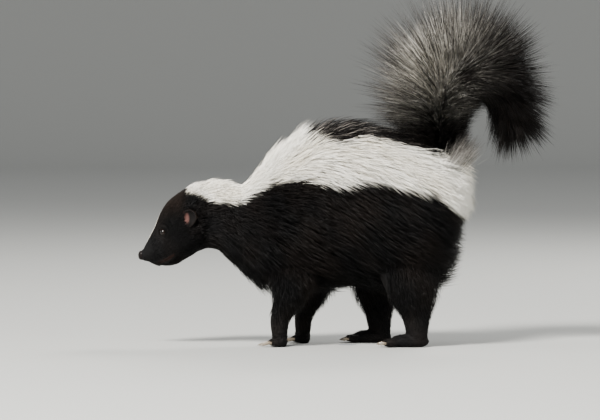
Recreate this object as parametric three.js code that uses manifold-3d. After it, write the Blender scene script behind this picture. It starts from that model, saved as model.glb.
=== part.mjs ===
// A striped skunk, life size: it stands side on with its head low, its back arched and its plume raised.
// Millimetres, +Z up. The animal faces -X and its left side is towards -Y.
import * as THREE from 'three';
import { mergeVertices } from 'three/addons/utils/BufferGeometryUtils.js';
import Module from 'manifold-3d';

const wasm = await Module();
wasm.setup();

// Driving sizes

const GAP = 0.3;              // clearance between touching pieces
const FLOOR = 0;              // level of the soles
const CORE_SHARE = 0.5;       // how much of the coat's depth lies outside the core under the locks
const COAT_STEP = 46;         // spacing of the body locks along the back
const LOCK_LENGTH = 70;       // guard hair of the back and rump
const LOCK_WIDTH = 49;
const LOCK_THICK = 7;
const LOCK_LIFT = 28;         // slant of a lock at its root, and the slant it settles to, in degrees
const LOCK_SETTLE = -9;
const COAT_RISE = 4;          // how far a lock may stand out of the coat's outline
const PLUME_RINGS = 10;       // rings of locks along the tail, and the locks in each
const PLUME_AROUND = 8;
const PLUME_START = 0.09;     // shares of the tail's line that carry the first and the last ring
const PLUME_END = 0.96;
const PLUME_WIDTH = 36;
const PLUME_THICK = 5;
const PLUME_ROLL = 50;        // how far a lock of the tail is turned on its own length
const PLUME_FILL = 0.42;      // how far the plume's dense inner fur reaches towards the tips
const EYE_RADIUS = 4.4;
const LIP_RADIUS = 1.5;
const SEED = 7;

// Body outline in side view, from behind the nose to the rump: the top and bottom points of each station,
// its half width, and how deep the coat is there.
const STATIONS = [
  { top: [-185.5, 101.0], bottom: [-182.5, 87.5], half: 8.0, coat: 1.0 },
  { top: [-180.5, 111.5], bottom: [-175.5, 85.0], half: 11.5, coat: 1.5 },
  { top: [-174.0, 124.0], bottom: [-165.5, 83.0], half: 14.5, coat: 2.0 },
  { top: [-168.5, 137.0], bottom: [-153.5, 84.0], half: 19.0, coat: 3.0 },
  { top: [-160.5, 149.5], bottom: [-141.0, 90.0], half: 25.5, coat: 4.0 },
  { top: [-148.0, 160.5], bottom: [-130.0, 96.0], half: 30.5, coat: 6.0 },
  { top: [-132.0, 170.0], bottom: [-121.0, 98.5], half: 32.0, coat: 8.0 },
  { top: [-110.0, 173.0], bottom: [-109.0, 97.5], half: 32.5, coat: 10.0 },
  { top: [-86.0, 170.0], bottom: [-93.5, 87.5], half: 36.0, coat: 12.0 },
  { top: [-66.0, 181.5], bottom: [-78.0, 74.0], half: 42.0, coat: 14.0 },
  { top: [-42.0, 204.5], bottom: [-58.0, 60.0], half: 49.0, coat: 16.0 },
  { top: [-8.0, 229.0], bottom: [-18.0, 55.0], half: 56.0, coat: 18.0 },
  { top: [28.0, 236.0], bottom: [25.0, 59.5], half: 62.0, coat: 20.0 },
  { top: [65.0, 229.5], bottom: [62.0, 56.0], half: 68.0, coat: 22.0 },
  { top: [101.0, 217.0], bottom: [94.0, 57.0], half: 71.0, coat: 24.0 },
  { top: [131.0, 206.0], bottom: [118.0, 68.0], half: 66.0, coat: 26.0 },
  { top: [154.0, 193.0], bottom: [138.0, 98.0], half: 48.0, coat: 26.0 },
  { top: [164.5, 170.0], bottom: [158.0, 132.0], half: 20.0, coat: 20.0 },
];
const NECK_START = 6.25;      // station numbers where the body is parted
const TORSO_START = 9.1;
const LAST = STATIONS.length - 1;
const BELLY_FULLNESS = 0.12;  // how far the widest line sits below the middle

// Tail: the line of its bone, with the hair reach and the tilt of the hair from that line.
const TAIL_LINE = [
  [129, 0, 178], [127, 0, 220], [127, 0, 248], [136, 0, 271],
  [154, 0, 284], [174, 0, 283], [190, 0, 269], [199, 0, 249],
];
const TAIL_CORE = [15, 14.5, 15, 17, 17, 16, 13, 7];
const TAIL_REACH = [34, 60, 92, 106, 95, 69, 54, 52];
const TAIL_TILT = [60, 74, 72, 62, 58, 52, 44, 32];
const TAIL_INNER = 0.45;      // reach on the inner side of the curl, as a share of the outer
const TAIL_SIDE = 0.2;        // how much further the plume spreads to the left and right
const TAIL_SPLIT = 0.55;      // share of the length where the plume is parted
const TAIL_OVERLAP = 0.25;    // how far the first part runs on before it is cut along that parting
const SPLIT_LEAN = 34;        // how much further that parting leans inside the curl, in degrees
const TAIL_ROOM = [80, 90, 60];   // radii of the room round the tail's foot that the back's locks leave

// Legs: the line from inside the body to the wrist or ankle, with the radii along and across the body.
const LEGS = {
  front_left: {
    side: -1, line: [[-28, 28, 96], [-30, 34, 72], [-33, 35, 50], [-44, 34, 30], [-48, 33, 6]],
    along: [27, 23, 17.5, 14, 12.5], across: [17, 16, 14, 12.5, 12], toe: -66, heel: -36,
  },
  front_right: {
    side: 1, line: [[-14, 28, 96], [-8, 34, 72], [-8, 35, 52], [-18, 34, 30], [-24, 33, 6]],
    along: [27, 22, 16, 13, 12.5], across: [17, 16, 14, 12.5, 12], toe: -42, heel: -12,
  },
  hind_left: {
    side: -1, line: [[98, 38, 112], [92, 44, 80], [95, 44, 52], [100, 41, 30], [101, 39, 6]],
    along: [38, 34, 26, 17, 13.5], across: [22, 21, 17.5, 14, 12.5], toe: 58, heel: 112,
  },
  hind_right: {
    side: 1, line: [[76, 38, 112], [64, 44, 80], [60, 44, 52], [62, 41, 30], [64, 39, 6]],
    along: [38, 33, 24, 17, 13.5], across: [22, 21, 17.5, 14, 12.5], toe: 20, heel: 74,
  },
};
const ANKLE = 13;             // level where each leg meets its foot

// Head features, on the left side, with y outwards.
const EYE = new THREE.Vector3(-163.8, 11.0, 118.5);
const EAR = new THREE.Vector3(-136.5, 26.5, 133.0);
const MOUTH = [[-190, 90.4], [-181, 87.4], [-172, 86.6], [-163, 89.4], [-152, 95.5]];

// Swellings and hollows of the face: place on the left side, how far each spreads, and its height.
const FACE_RELIEF = [
  { name: 'whisker pad', at: [-177, 9, 96], reach: 8, height: 1.7 },
  { name: 'brow', at: [-163, 13, 127], reach: 6.5, height: 1.6 },
  { name: 'eye socket', at: [-167, 14, 113], reach: 7.5, height: -1.7 },
  { name: 'cheek', at: [-140, 30, 108], reach: 15, height: 3.4 },
  { name: 'temple', at: [-146, 26, 142], reach: 11, height: -1.8 },
];

// Small helpers

function seededRandom(seed) {
  let state = seed;
  return () => {
    state = (state * 1664525 + 1013904223) % 4294967296;
    return state / 4294967296;
  };
}
const random = seededRandom(SEED);
const spread = (amount) => (random() * 2 - 1) * amount;

// Catmull-Rom value of a list of numbers at a real position along it.
function smoothAt(values, position) {
  const last = values.length - 1;
  const i = Math.min(Math.floor(Math.max(position, 0)), last - 1);
  const u = position - i;
  const [a, b, c, d] = [-1, 0, 1, 2].map((k) => values[Math.min(Math.max(i + k, 0), last)]);
  return 0.5 * (2 * b + (c - a) * u + (2 * a - 5 * b + 4 * c - d) * u * u
    + (3 * b - a - 3 * c + d) * u * u * u);
}

// A closed mesh through rings of equal point count, with a flat fan over each end.
function loft(rings) {
  const n = rings[0].length;
  const points = rings.flat();
  const ends = [rings[0], rings[rings.length - 1]];
  for (const ring of ends) {
    const middle = new THREE.Vector3();
    ring.forEach((p) => middle.add(p));
    points.push(middle.divideScalar(n));
  }
  const first = rings.length * n;
  const faces = [];
  for (let r = 0; r < rings.length - 1; r += 1) {
    for (let k = 0; k < n; k += 1) {
      const a = r * n + k;
      const b = r * n + ((k + 1) % n);
      faces.push(a, b, b + n, a, b + n, a + n);
    }
  }
  const lastRing = (rings.length - 1) * n;
  for (let k = 0; k < n; k += 1) {
    const next = (k + 1) % n;
    faces.push(first, next, k, first + 1, lastRing + k, lastRing + next);
  }
  const geometry = new THREE.BufferGeometry();
  geometry.setAttribute('position', new THREE.Float32BufferAttribute(points.flatMap((p) => p.toArray()), 3));
  geometry.setIndex(faces);
  return geometry;
}

// The solid of a closed geometry, its faces turned outwards.
function solid(geometry) {
  const bare = geometry.clone();
  bare.deleteAttribute('normal');
  bare.deleteAttribute('uv');
  const merged = mergeVertices(bare, 1e-4);
  const make = (triangles) => new wasm.Manifold(new wasm.Mesh({
    numProp: 3,
    vertProperties: new Float32Array(merged.attributes.position.array),
    triVerts: new Uint32Array(triangles),
  }));
  const triangles = Array.from(merged.index.array);
  const made = make(triangles);
  return made.volume() > 0 ? made : make(triangles.reverse());
}

const joinAll = (solids) => wasm.Manifold.union(solids);
const largestBody = (whole) => whole.decompose().sort((a, b) => b.volume() - a.volume())[0];

function placedSolid(geometry, position, turn = new THREE.Quaternion()) {
  const matrix = new THREE.Matrix4().compose(position, turn, new THREE.Vector3(1, 1, 1));
  return solid(geometry.clone().applyMatrix4(matrix));
}

function ellipsoid(rx, ry, rz, around = 14, down = 9) {
  return new THREE.SphereGeometry(1, around, down).scale(rx, ry, rz);
}

// Everything above a level, as a large block.
function above(level) {
  return solid(new THREE.BoxGeometry(900, 900, 600).translate(0, 0, level + 300));
}

// Body surface

// A station between the listed ones.
function stationAt(t) {
  const read = (pick) => smoothAt(STATIONS.map(pick), t);
  return {
    top: new THREE.Vector3(read((s) => s.top[0]), 0, read((s) => s.top[1])),
    bottom: new THREE.Vector3(read((s) => s.bottom[0]), 0, read((s) => s.bottom[1])),
    half: read((s) => s.half),
    coat: read((s) => s.coat),
  };
}

// A point of the body at station t and angle round it, 0 on the back and growing to the left (-Y) side.
// share is how much of the coat's depth is taken off, from 0 at the hair tips to 1 at the skin.
function bodyPoint(t, angle, share = 0, grow = 0) {
  const s = stationAt(t);
  const centre = s.top.clone().add(s.bottom).multiplyScalar(0.5);
  const up = s.top.clone().sub(s.bottom).multiplyScalar(0.5);
  const tall = up.length();
  const depth = s.coat * share - grow;
  const c = Math.cos(angle);
  const width = (s.half - depth) * (1 - BELLY_FULLNESS * c);
  const around = up.setLength(Math.max(tall - depth, 1)).multiplyScalar(c)
    .add(new THREE.Vector3(0, -Math.sin(angle) * Math.max(width, 1), 0));
  const point = centre.add(around);
  return t < NECK_START ? point.addScaledVector(around.normalize(), faceRelief(point)) : point;
}

// Height of the face's swellings and hollows at a point, alike on both sides.
function faceRelief(point) {
  let height = 0;
  for (const form of FACE_RELIEF) {
    const [x, y, z] = form.at;
    const away = Math.hypot(point.x - x, Math.abs(point.y) - y, point.z - z) / form.reach;
    height += form.height * Math.exp(-away * away);
  }
  return height;
}

// The point of a station and angle with the directions back along the body, round it and out of it.
function bodyFrame(t, angle, share) {
  const step = 0.02;
  const at = bodyPoint(t, angle, share);
  const back = bodyPoint(t + step, angle, share).sub(bodyPoint(t - step, angle, share)).normalize();
  const round = bodyPoint(t, angle + step, share).sub(bodyPoint(t, angle - step, share)).normalize();
  const out = new THREE.Vector3().crossVectors(back, round).normalize();
  if (out.dot(at.clone().sub(bodyPoint(t, angle, share + 1))) < 0) out.negate();
  return { at, back, round, out };
}

// How deep under the coat's outline a surface lies along the body: at its tips, or at the core under the
// locks, which sinks away from the short coat of the head.
const atTips = () => 0;
const atCore = (t) => CORE_SHARE * THREE.MathUtils.smoothstep(t, NECK_START, NECK_START + 0.8);

// The body between two stations, with a ring every part of a station.
function bodyLoft(from, to, ringsPerStation, around, shareAt, grow = 0) {
  const count = Math.max(2, Math.round((to - from) * ringsPerStation));
  const rings = [];
  for (let r = 0; r <= count; r += 1) {
    const t = from + ((to - from) * r) / count;
    rings.push(Array.from({ length: around }, (_, k) => bodyPoint(t, (k / around) * 2 * Math.PI, shareAt(t), grow)));
  }
  return solid(loft(rings));
}

// Everything behind the cut plane of station t, as a large block whose front face lies on that plane.
function behind(t, clearance) {
  const s = stationAt(t);
  const centre = s.top.clone().add(s.bottom).multiplyScalar(0.5);
  const tilt = Math.atan2(s.top.x - s.bottom.x, s.top.z - s.bottom.z);
  const box = new THREE.BoxGeometry(700, 500, 900).translate(350 + clearance, 0, 0);
  return solid(box.rotateY(tilt).translate(centre.x, 0, centre.z));
}

// Locks of the coat

// A flat tapered lock: a ridge over a flat underside, along a path that leaves its root at one slant, bends
// to another and droops towards the tip.
function lock({ root, out, lie, length, width, thick, rootWidth, lift, settle, sink, droop = 0 }) {
  const side = new THREE.Vector3().crossVectors(lie, out).normalize();
  const point = root.clone().addScaledVector(out, -sink);
  const aim = (u) => {
    const slant = THREE.MathUtils.degToRad(lift + (settle - lift) * u);
    return lie.clone().multiplyScalar(Math.cos(slant)).addScaledVector(out, Math.sin(slant));
  };
  const rings = [];
  let last = 0;
  for (const u of [0, 0.35, 0.7, 1]) {
    point.addScaledVector(aim((u + last) / 2), (u - last) * length);
    point.z -= droop * length * (u * u - last * last);
    last = u;
    const full = Math.sqrt(1 - 0.998 * u * u) * (rootWidth + (1 - rootWidth) * Math.min(u / 0.4, 1));
    const over = new THREE.Vector3().crossVectors(side, aim(u)).normalize();
    if (over.dot(out) < 0) over.negate();
    const half = (width / 2) * full;
    rings.push([
      point.clone().addScaledVector(side, -half),
      point.clone().addScaledVector(side, half),
      point.clone().addScaledVector(over, thick * full),
    ]);
  }
  return solid(loft(rings));
}

// Locks in staggered rows over the body, laid backwards and, down the flank, downwards as well.
function bodyLocks(from, to) {
  const locks = [];
  let row = 0;
  for (let t = from; t < to; row += 1) {
    const here = stationAt(t);
    const ahead = stationAt(Math.min(t + 0.5, LAST));
    const rump = THREE.MathUtils.smoothstep(t, 14, 16.5);
    const size = THREE.MathUtils.clamp(here.coat / 21, 0.7, 1) * (1 - 0.38 * rump);
    const girth = Math.PI * (here.top.distanceTo(here.bottom) / 2 + here.half);
    const count = Math.max(6, Math.round(girth / (LOCK_WIDTH * size)));
    for (let k = 0; k < count; k += 1) {
      const angle = ((k + (row % 2) / 2) / count) * 2 * Math.PI + spread(0.05);
      const { at, back, round, out } = bodyFrame(t + spread(0.08), angle, CORE_SHARE);
      const fall = new THREE.Vector3(0, 0, -1).addScaledVector(out, out.z);
      const lie = back.clone().addScaledVector(fall, Math.max(0.75 * Math.abs(Math.sin(angle)), 2.2 * rump));
      lie.addScaledVector(round, spread(0.12)).addScaledVector(out, -lie.dot(out)).normalize();
      locks.push(lock({
        root: at, out, lie, length: LOCK_LENGTH * size * (1 + spread(0.14)),
        width: LOCK_WIDTH * size * (0.94 + spread(0.06)), thick: LOCK_THICK * size, rootWidth: 0.6,
        lift: LOCK_LIFT * size ** 3, settle: LOCK_SETTLE, sink: LOCK_THICK * size,
      }));
    }
    const step = ahead.top.clone().add(ahead.bottom).distanceTo(here.top.clone().add(here.bottom));
    t += (COAT_STEP * size) / Math.max(step, 8);
  }
  return joinAll(locks);
}

// Tail

const tailCurve = new THREE.CatmullRomCurve3(TAIL_LINE.map((p) => new THREE.Vector3(...p)));
const along = (list, s) => smoothAt(list, s * (list.length - 1));

function tailFrame(s) {
  const centre = tailCurve.getPoint(s);
  const forward = tailCurve.getTangent(s);
  const sideways = new THREE.Vector3(0, -1, 0);
  const outer = new THREE.Vector3().crossVectors(sideways, forward).normalize();
  return { centre, forward, sideways, outer };
}

// Direction away from the tail's line at an angle round it, 0 on the outer side of its curl.
function tailOut(s, angle) {
  const { sideways, outer } = tailFrame(s);
  return outer.multiplyScalar(Math.cos(angle)).addScaledVector(sideways, Math.sin(angle)).normalize();
}

function tailTube(from, to, rings, around, radius) {
  const list = [];
  for (let r = 0; r <= rings; r += 1) {
    const s = from + ((to - from) * r) / rings;
    const { centre } = tailFrame(s);
    list.push(Array.from({ length: around }, (_, k) => {
      const angle = (k / around) * 2 * Math.PI;
      return centre.clone().addScaledVector(tailOut(s, angle), radius(s, angle));
    }));
  }
  return solid(loft(list));
}

// How far the hair springs from the tail's line at an angle round it.
function plumeReach(s, angle) {
  const inner = 0.5 - 0.5 * Math.cos(angle);
  return along(TAIL_REACH, s) * (1 + (TAIL_INNER - 1) * inner) * (1 + TAIL_SIDE * Math.sin(angle) ** 2);
}

// The tail's flesh and the dense fur round it, which lean out of sight under the long hair.
function tailCore(from, to, grow = 0) {
  const radius = (s, angle) => {
    const lean = Math.sin(THREE.MathUtils.degToRad(along(TAIL_TILT, s)));
    return Math.max(along(TAIL_CORE, s), PLUME_FILL * plumeReach(s, angle) * lean) + grow;
  };
  return tailTube(from, to, Math.round((to - from) * 12), 12, radius);
}

// Locks in rings round the tail's line, leaning towards its tip, shorter and fewer inside the curl. Each
// starts inside the dense fur, on its own line from the flesh.
function plumeLocks(from, to) {
  const locks = [];
  for (let ring = 0; ring < PLUME_RINGS; ring += 1) {
    const s = THREE.MathUtils.lerp(PLUME_START, PLUME_END, ring / (PLUME_RINGS - 1));
    if (s < from || s > to) continue;
    const { forward } = tailFrame(s);
    for (let k = 0; k < PLUME_AROUND; k += 1) {
      const angle = ((k + (ring % 2) / 2) / PLUME_AROUND) * 2 * Math.PI + spread(0.1);
      const away = tailOut(s, angle);
      const insideCurl = Math.cos(angle) < -0.5;
      if (insideCurl && (ring + k) % 2 === 0) continue;
      const tilt = THREE.MathUtils.degToRad(along(TAIL_TILT, s) + spread(3));
      const lie = forward.clone().multiplyScalar(Math.cos(tilt)).addScaledVector(away, Math.sin(tilt));
      const roll = THREE.MathUtils.degToRad(PLUME_ROLL + spread(8));
      const out = away.clone().multiplyScalar(Math.cos(tilt)).addScaledVector(forward, -Math.sin(tilt))
        .applyAxisAngle(lie, roll);
      const length = plumeReach(s, angle) * (1 + spread(0.08));
      const start = PLUME_FILL * 0.5 * Math.sqrt(1 - s * s);
      const root = tailFrame(s).centre.addScaledVector(away, along(TAIL_CORE, s) * 0.4)
        .addScaledVector(lie, length * start);
      locks.push(lock({
        root, out, lie, length: length * (1 - start), width: PLUME_WIDTH * (1 + spread(0.12)),
        thick: PLUME_THICK, rootWidth: 0.45, lift: -10, settle: 12, sink: 0, droop: 0.07,
      }));
    }
  }
  return joinAll(locks);
}

// Everything on the tip's side of a flared surface round the tail's line, which leans as the locks do.
function tipwards(s, clearance) {
  const { centre, forward } = tailFrame(s);
  const apex = centre.addScaledVector(forward, clearance);
  const around = 24;
  const far = 260;
  const ring = (distance) => Array.from({ length: around }, (_, k) => {
    const angle = (k / around) * 2 * Math.PI;
    const inner = 0.5 - 0.5 * Math.cos(angle);
    const tilt = THREE.MathUtils.degToRad(along(TAIL_TILT, s) + SPLIT_LEAN * inner);
    return apex.clone().addScaledVector(forward, distance * Math.cos(tilt))
      .addScaledVector(tailOut(s, angle), distance * Math.sin(tilt));
  });
  const beyond = ring(far).map((p) => p.addScaledVector(forward, far));
  return solid(loft([ring(0.05), ring(far), beyond]));
}

// Legs and feet

function legSolid({ side, line, along: lengthwise, across }, grow = 0) {
  const curve = new THREE.CatmullRomCurve3(line.map(([x, y, z]) => new THREE.Vector3(x, side * y, z)));
  const rings = [];
  const count = 8;
  const around = 12;
  for (let r = 0; r <= count; r += 1) {
    const u = r / count;
    const centre = curve.getPoint(u);
    const a = smoothAt(lengthwise, u * (lengthwise.length - 1)) + grow;
    const b = smoothAt(across, u * (across.length - 1)) + grow;
    rings.push(Array.from({ length: around }, (_, k) => {
      const angle = (k / around) * 2 * Math.PI;
      return centre.clone().add(new THREE.Vector3(a * Math.cos(angle), b * Math.sin(angle), 0));
    }));
  }
  return solid(loft(rings));
}

// A claw: a three-sided horn that curves down to its tip.
function claw(root, heading, length, radius) {
  const rings = [];
  const side = new THREE.Vector3(-heading.y, heading.x, 0);
  for (const u of [-0.25, 0.4, 1]) {
    const size = radius * Math.sqrt(Math.max(1 - u, 0.03));
    const at = root.clone().addScaledVector(heading, u * length);
    at.z -= 0.34 * length * u * u;
    rings.push([[0.9, -0.6], [0, 1.25], [-0.9, -0.6]].map(([a, b]) => at.clone()
      .addScaledVector(side, a * size).add(new THREE.Vector3(0, 0, b * size))));
  }
  return solid(loft(rings));
}

// A foot with five toes and claws, its sole cut flat on the floor.
function footSolid({ side, line, toe, heel }, front) {
  const ankle = line[line.length - 1];
  const y = side * ankle[1];
  const clawLength = front ? 15 : 10;
  const toeLine = toe + clawLength + 6;
  const middle = (toeLine + heel) / 2;
  const half = (heel - toeLine) / 2;
  const pieces = [
    placedSolid(ellipsoid(half + 3, 12.5, 9.5, 12, 6), new THREE.Vector3(middle, y, 6.5)),
    placedSolid(
      new THREE.CylinderGeometry(12.4, 13.5, ANKLE - 3, 10).rotateX(Math.PI / 2).translate(0, 0, (ANKLE - 3) / 2),
      new THREE.Vector3(ankle[0], y, 2.85),
    ),
  ];
  for (let k = -2; k <= 2; k += 1) {
    const fan = THREE.MathUtils.degToRad(k * 9);
    const heading = new THREE.Vector3(-Math.cos(fan), Math.sin(fan), 0);
    const back = Math.abs(k) * 1.7;
    const at = new THREE.Vector3(toeLine + back, y + k * 5.0, 4.6);
    const turn = new THREE.Quaternion().setFromAxisAngle(new THREE.Vector3(0, 0, 1), -fan);
    pieces.push(placedSolid(ellipsoid(8.2, 3.3, 4.9, 6, 4), at, turn));
    pieces.push(claw(at.clone().addScaledVector(heading, 5.6), heading, clawLength, 1.7));
  }
  return joinAll(pieces).intersect(above(FLOOR)).subtract(above(ANKLE - GAP / 2));
}

// Head features

// The eye looks out, forwards and a little up.
const eyeAim = (side) => new THREE.Vector3(-0.5, side * 0.84, 0.2).normalize();
const onSide = (point, side) => new THREE.Vector3(point.x, side * point.y, point.z);

function eyeLid(side) {
  const aim = eyeAim(side);
  const turn = new THREE.Quaternion().setFromUnitVectors(new THREE.Vector3(0, 0, 1), aim);
  const ring = new THREE.TorusGeometry(EYE_RADIUS * 0.84, 1.2, 6, 14);
  return placedSolid(ring, onSide(EYE, side).addScaledVector(aim, EYE_RADIUS * 0.45), turn);
}

// The point of the head's surface on the left side that shows at x, z in side view.
function sidePoint(x, z) {
  const offRing = (t) => {
    const { top, bottom } = stationAt(t);
    return (x - bottom.x) * (top.z - bottom.z) - (z - bottom.z) * (top.x - bottom.x);
  };
  let near = 0;
  let far = NECK_START;
  for (let halving = 0; halving < 24; halving += 1) {
    const t = (near + far) / 2;
    if (offRing(t) > 0) near = t;
    else far = t;
  }
  const { top, bottom } = stationAt(near);
  const share = (2 * (z - bottom.z)) / (top.z - bottom.z) - 1;
  return bodyPoint(near, Math.acos(THREE.MathUtils.clamp(share, -1, 1)));
}

// The lips of one side: a bead along the mouth, half sunk in the skin, which the mouth then parts.
function lipBead(side) {
  const line = new THREE.SplineCurve(MOUTH.map(([x, z]) => new THREE.Vector2(x, z))).getPoints(7).slice(1);
  const curve = new THREE.CatmullRomCurve3(line.map(({ x, y: z }) => {
    const at = sidePoint(x, z);
    return new THREE.Vector3(at.x, side * -at.y, at.z);
  }));
  const section = new THREE.Shape().absarc(0, 0, LIP_RADIUS, 0, 2 * Math.PI);
  return solid(new THREE.ExtrudeGeometry(section, {
    steps: 7, curveSegments: 5, bevelEnabled: false, extrudePath: curve,
  }));
}

// A thin blade along the mouth, less the inside of the head, so that it only parts the lips.
function mouthGroove() {
  const open = 0.55;
  const line = new THREE.SplineCurve(MOUTH.map(([x, z]) => new THREE.Vector2(x, z))).getPoints(8);
  const outline = new THREE.Shape([
    ...line.map((p) => new THREE.Vector2(p.x, p.y + open)),
    ...line.reverse().map((p) => new THREE.Vector2(p.x, p.y - open)),
  ]);
  const blade = new THREE.ExtrudeGeometry(outline, { depth: 80, bevelEnabled: false });
  blade.rotateX(Math.PI / 2).translate(0, 40, 0);
  return solid(blade).subtract(bodyLoft(0, 5, 2, 16, atTips, -1.6));
}

function headSolid() {
  const skull = bodyLoft(0, NECK_START, 3.5, 28, atTips);
  let head = joinAll([skull, eyeLid(-1), eyeLid(1), lipBead(-1), lipBead(1)]);
  for (const side of [-1, 1]) {
    head = head.subtract(placedSolid(
      ellipsoid(EYE_RADIUS + GAP, EYE_RADIUS + GAP, EYE_RADIUS + GAP, 12, 8), onSide(EYE, side),
    ));
  }
  return largestBody(head.subtract(mouthGroove()).subtract(behind(NECK_START, -GAP)));
}

// The nose pad: a rounded, faintly cleft button with two comma-shaped nostrils.
function noseSolid() {
  const centre = new THREE.Vector3(-185.3, 0, 95.6);
  const pad = placedSolid(ellipsoid(5.4, 6.4, 5.6, 14, 8), centre);
  const nostrils = [-1, 1].map((side) => {
    const turn = new THREE.Quaternion().setFromEuler(new THREE.Euler(side * 0.5, 0, side * -0.5));
    return placedSolid(ellipsoid(3.4, 1.25, 1.7, 8, 5), new THREE.Vector3(-189.6, side * 3.1, 95.2), turn);
  });
  const cleft = placedSolid(ellipsoid(2.4, 0.7, 4.2, 6, 5), new THREE.Vector3(-190.9, 0, 92.6));
  return pad.subtract(joinAll([...nostrils, cleft]));
}

// The ear: a round cup that opens forwards and outwards, low on the side of the head.
function earSolid(side) {
  const aim = new THREE.Vector3(-0.52, side * 0.84, 0.12).normalize();
  const turn = new THREE.Quaternion().setFromUnitVectors(new THREE.Vector3(0, 0, 1), aim);
  const centre = onSide(EAR, side);
  const shell = placedSolid(ellipsoid(10.6, 11.2, 7.6, 13, 8), centre, turn);
  const bowl = placedSolid(
    ellipsoid(7.6, 8.4, 8.0, 11, 6), centre.clone().addScaledVector(aim, 6.2), turn,
  );
  return shell.subtract(bowl);
}

// Materials

const finish = (name, color, roughness) => Object.assign(
  new THREE.MeshStandardMaterial({ color, roughness, metalness: 0 }), { name },
);
const blackFur = finish('black fur', 0x0c0b0c, 0.75);
const whiteFur = finish('cream white fur', 0xeee8d8, 0.8);
const greyFur = finish('grizzled tail fur', 0x57524c, 0.8);
const wetNose = finish('moist nose skin', 0x1d1614, 0.35);
const darkEye = finish('dark eye', 0x070504, 0.08);
const earSkin = finish('ear skin and fur', 0x241a19, 0.7);

const skunk = new THREE.Group();

function addNode(name, whole, material) {
  const mesh = largestBody(whole).getMesh();
  const geometry = new THREE.BufferGeometry();
  geometry.setAttribute('position', new THREE.BufferAttribute(new Float32Array(mesh.vertProperties), 3));
  geometry.setIndex(new THREE.BufferAttribute(new Uint32Array(mesh.triVerts), 1));
  geometry.computeVertexNormals();
  const node = new THREE.Mesh(geometry, material);
  node.name = name;
  skunk.add(node);
}

// Assembly: head

const head = headSolid();
const nose = noseSolid();
const noseSeat = placedSolid(ellipsoid(5.8, 6.8, 6.0, 14, 8), new THREE.Vector3(-185.3, 0, 95.6));
const skullUnderEars = bodyLoft(0, NECK_START, 3.5, 28, atTips, GAP);
addNode('head', head.subtract(noseSeat), blackFur);
addNode('nose', nose, wetNose);
for (const [name, side] of [['left', -1], ['right', 1]]) {
  addNode(`eye_${name}`, placedSolid(
    ellipsoid(EYE_RADIUS, EYE_RADIUS, EYE_RADIUS, 12, 8), onSide(EYE, side),
  ), darkEye);
  addNode(`ear_${name}`, earSolid(side).subtract(skullUnderEars), earSkin);
}

// Assembly: neck and torso, each a core under its share of one coat of locks

const coat = bodyLocks(NECK_START + 0.15, LAST);
const neckCore = bodyLoft(NECK_START, TORSO_START, 1.4, 16, atCore);
const torsoCore = bodyLoft(TORSO_START, LAST, 1, 16, atCore);
const outline = (grow) => bodyLoft(TORSO_START, LAST, 2, 24, atTips, COAT_RISE + grow);
const seats = Object.values(LEGS).map((leg) => legSolid(leg, GAP));
seats.push(tailCore(0, TAIL_SPLIT + TAIL_OVERLAP, GAP));
seats.push(placedSolid(ellipsoid(...TAIL_ROOM, 12, 8), new THREE.Vector3(...TAIL_LINE[1])).subtract(outline(0)));
const clearCoat = coat.subtract(joinAll(seats));
const neckCoat = clearCoat.intersect(behind(NECK_START, 0));
addNode('neck', joinAll([neckCore, neckCoat]).subtract(behind(TORSO_START, -GAP)), whiteFur);
addNode('torso', joinAll([torsoCore, clearCoat.intersect(behind(TORSO_START, 0))]), blackFur);

// Assembly: legs and feet

const torsoSeat = bodyLoft(TORSO_START, LAST, 1, 16, atCore, GAP);
for (const [name, leg] of Object.entries(LEGS)) {
  addNode(`leg_${name}`, legSolid(leg).subtract(torsoSeat).intersect(above(ANKLE + GAP / 2)), blackFur);
  addNode(`paw_${name}`, footSolid(leg, name.startsWith('front')), blackFur);
}

// Assembly: tail, a core under locks that reach the tips of the plume, parted along their lie

const tailBase = joinAll([
  tailCore(0, TAIL_SPLIT + TAIL_OVERLAP).subtract(torsoSeat), plumeLocks(0, TAIL_SPLIT).subtract(outline(GAP)),
]);
addNode('tail_base', tailBase.subtract(tipwards(TAIL_SPLIT, 0)), greyFur);
const tailEnd = joinAll([tailCore(TAIL_SPLIT - 0.05, 1), plumeLocks(TAIL_SPLIT, 1)]);
addNode('tail_end', tailEnd.intersect(tipwards(TAIL_SPLIT, GAP / Math.sin(THREE.MathUtils.degToRad(50)))), blackFur);

// The part's origin is on the floor, under the middle of its box.
const box = new THREE.Box3().setFromObject(skunk);
const centre = box.getCenter(new THREE.Vector3());
skunk.position.set(-centre.x, -centre.y, -box.min.z);

export default skunk;
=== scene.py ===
# A striped skunk, life size, as a museum shows it: black with two white stripes, its plume raised.
import math

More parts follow.
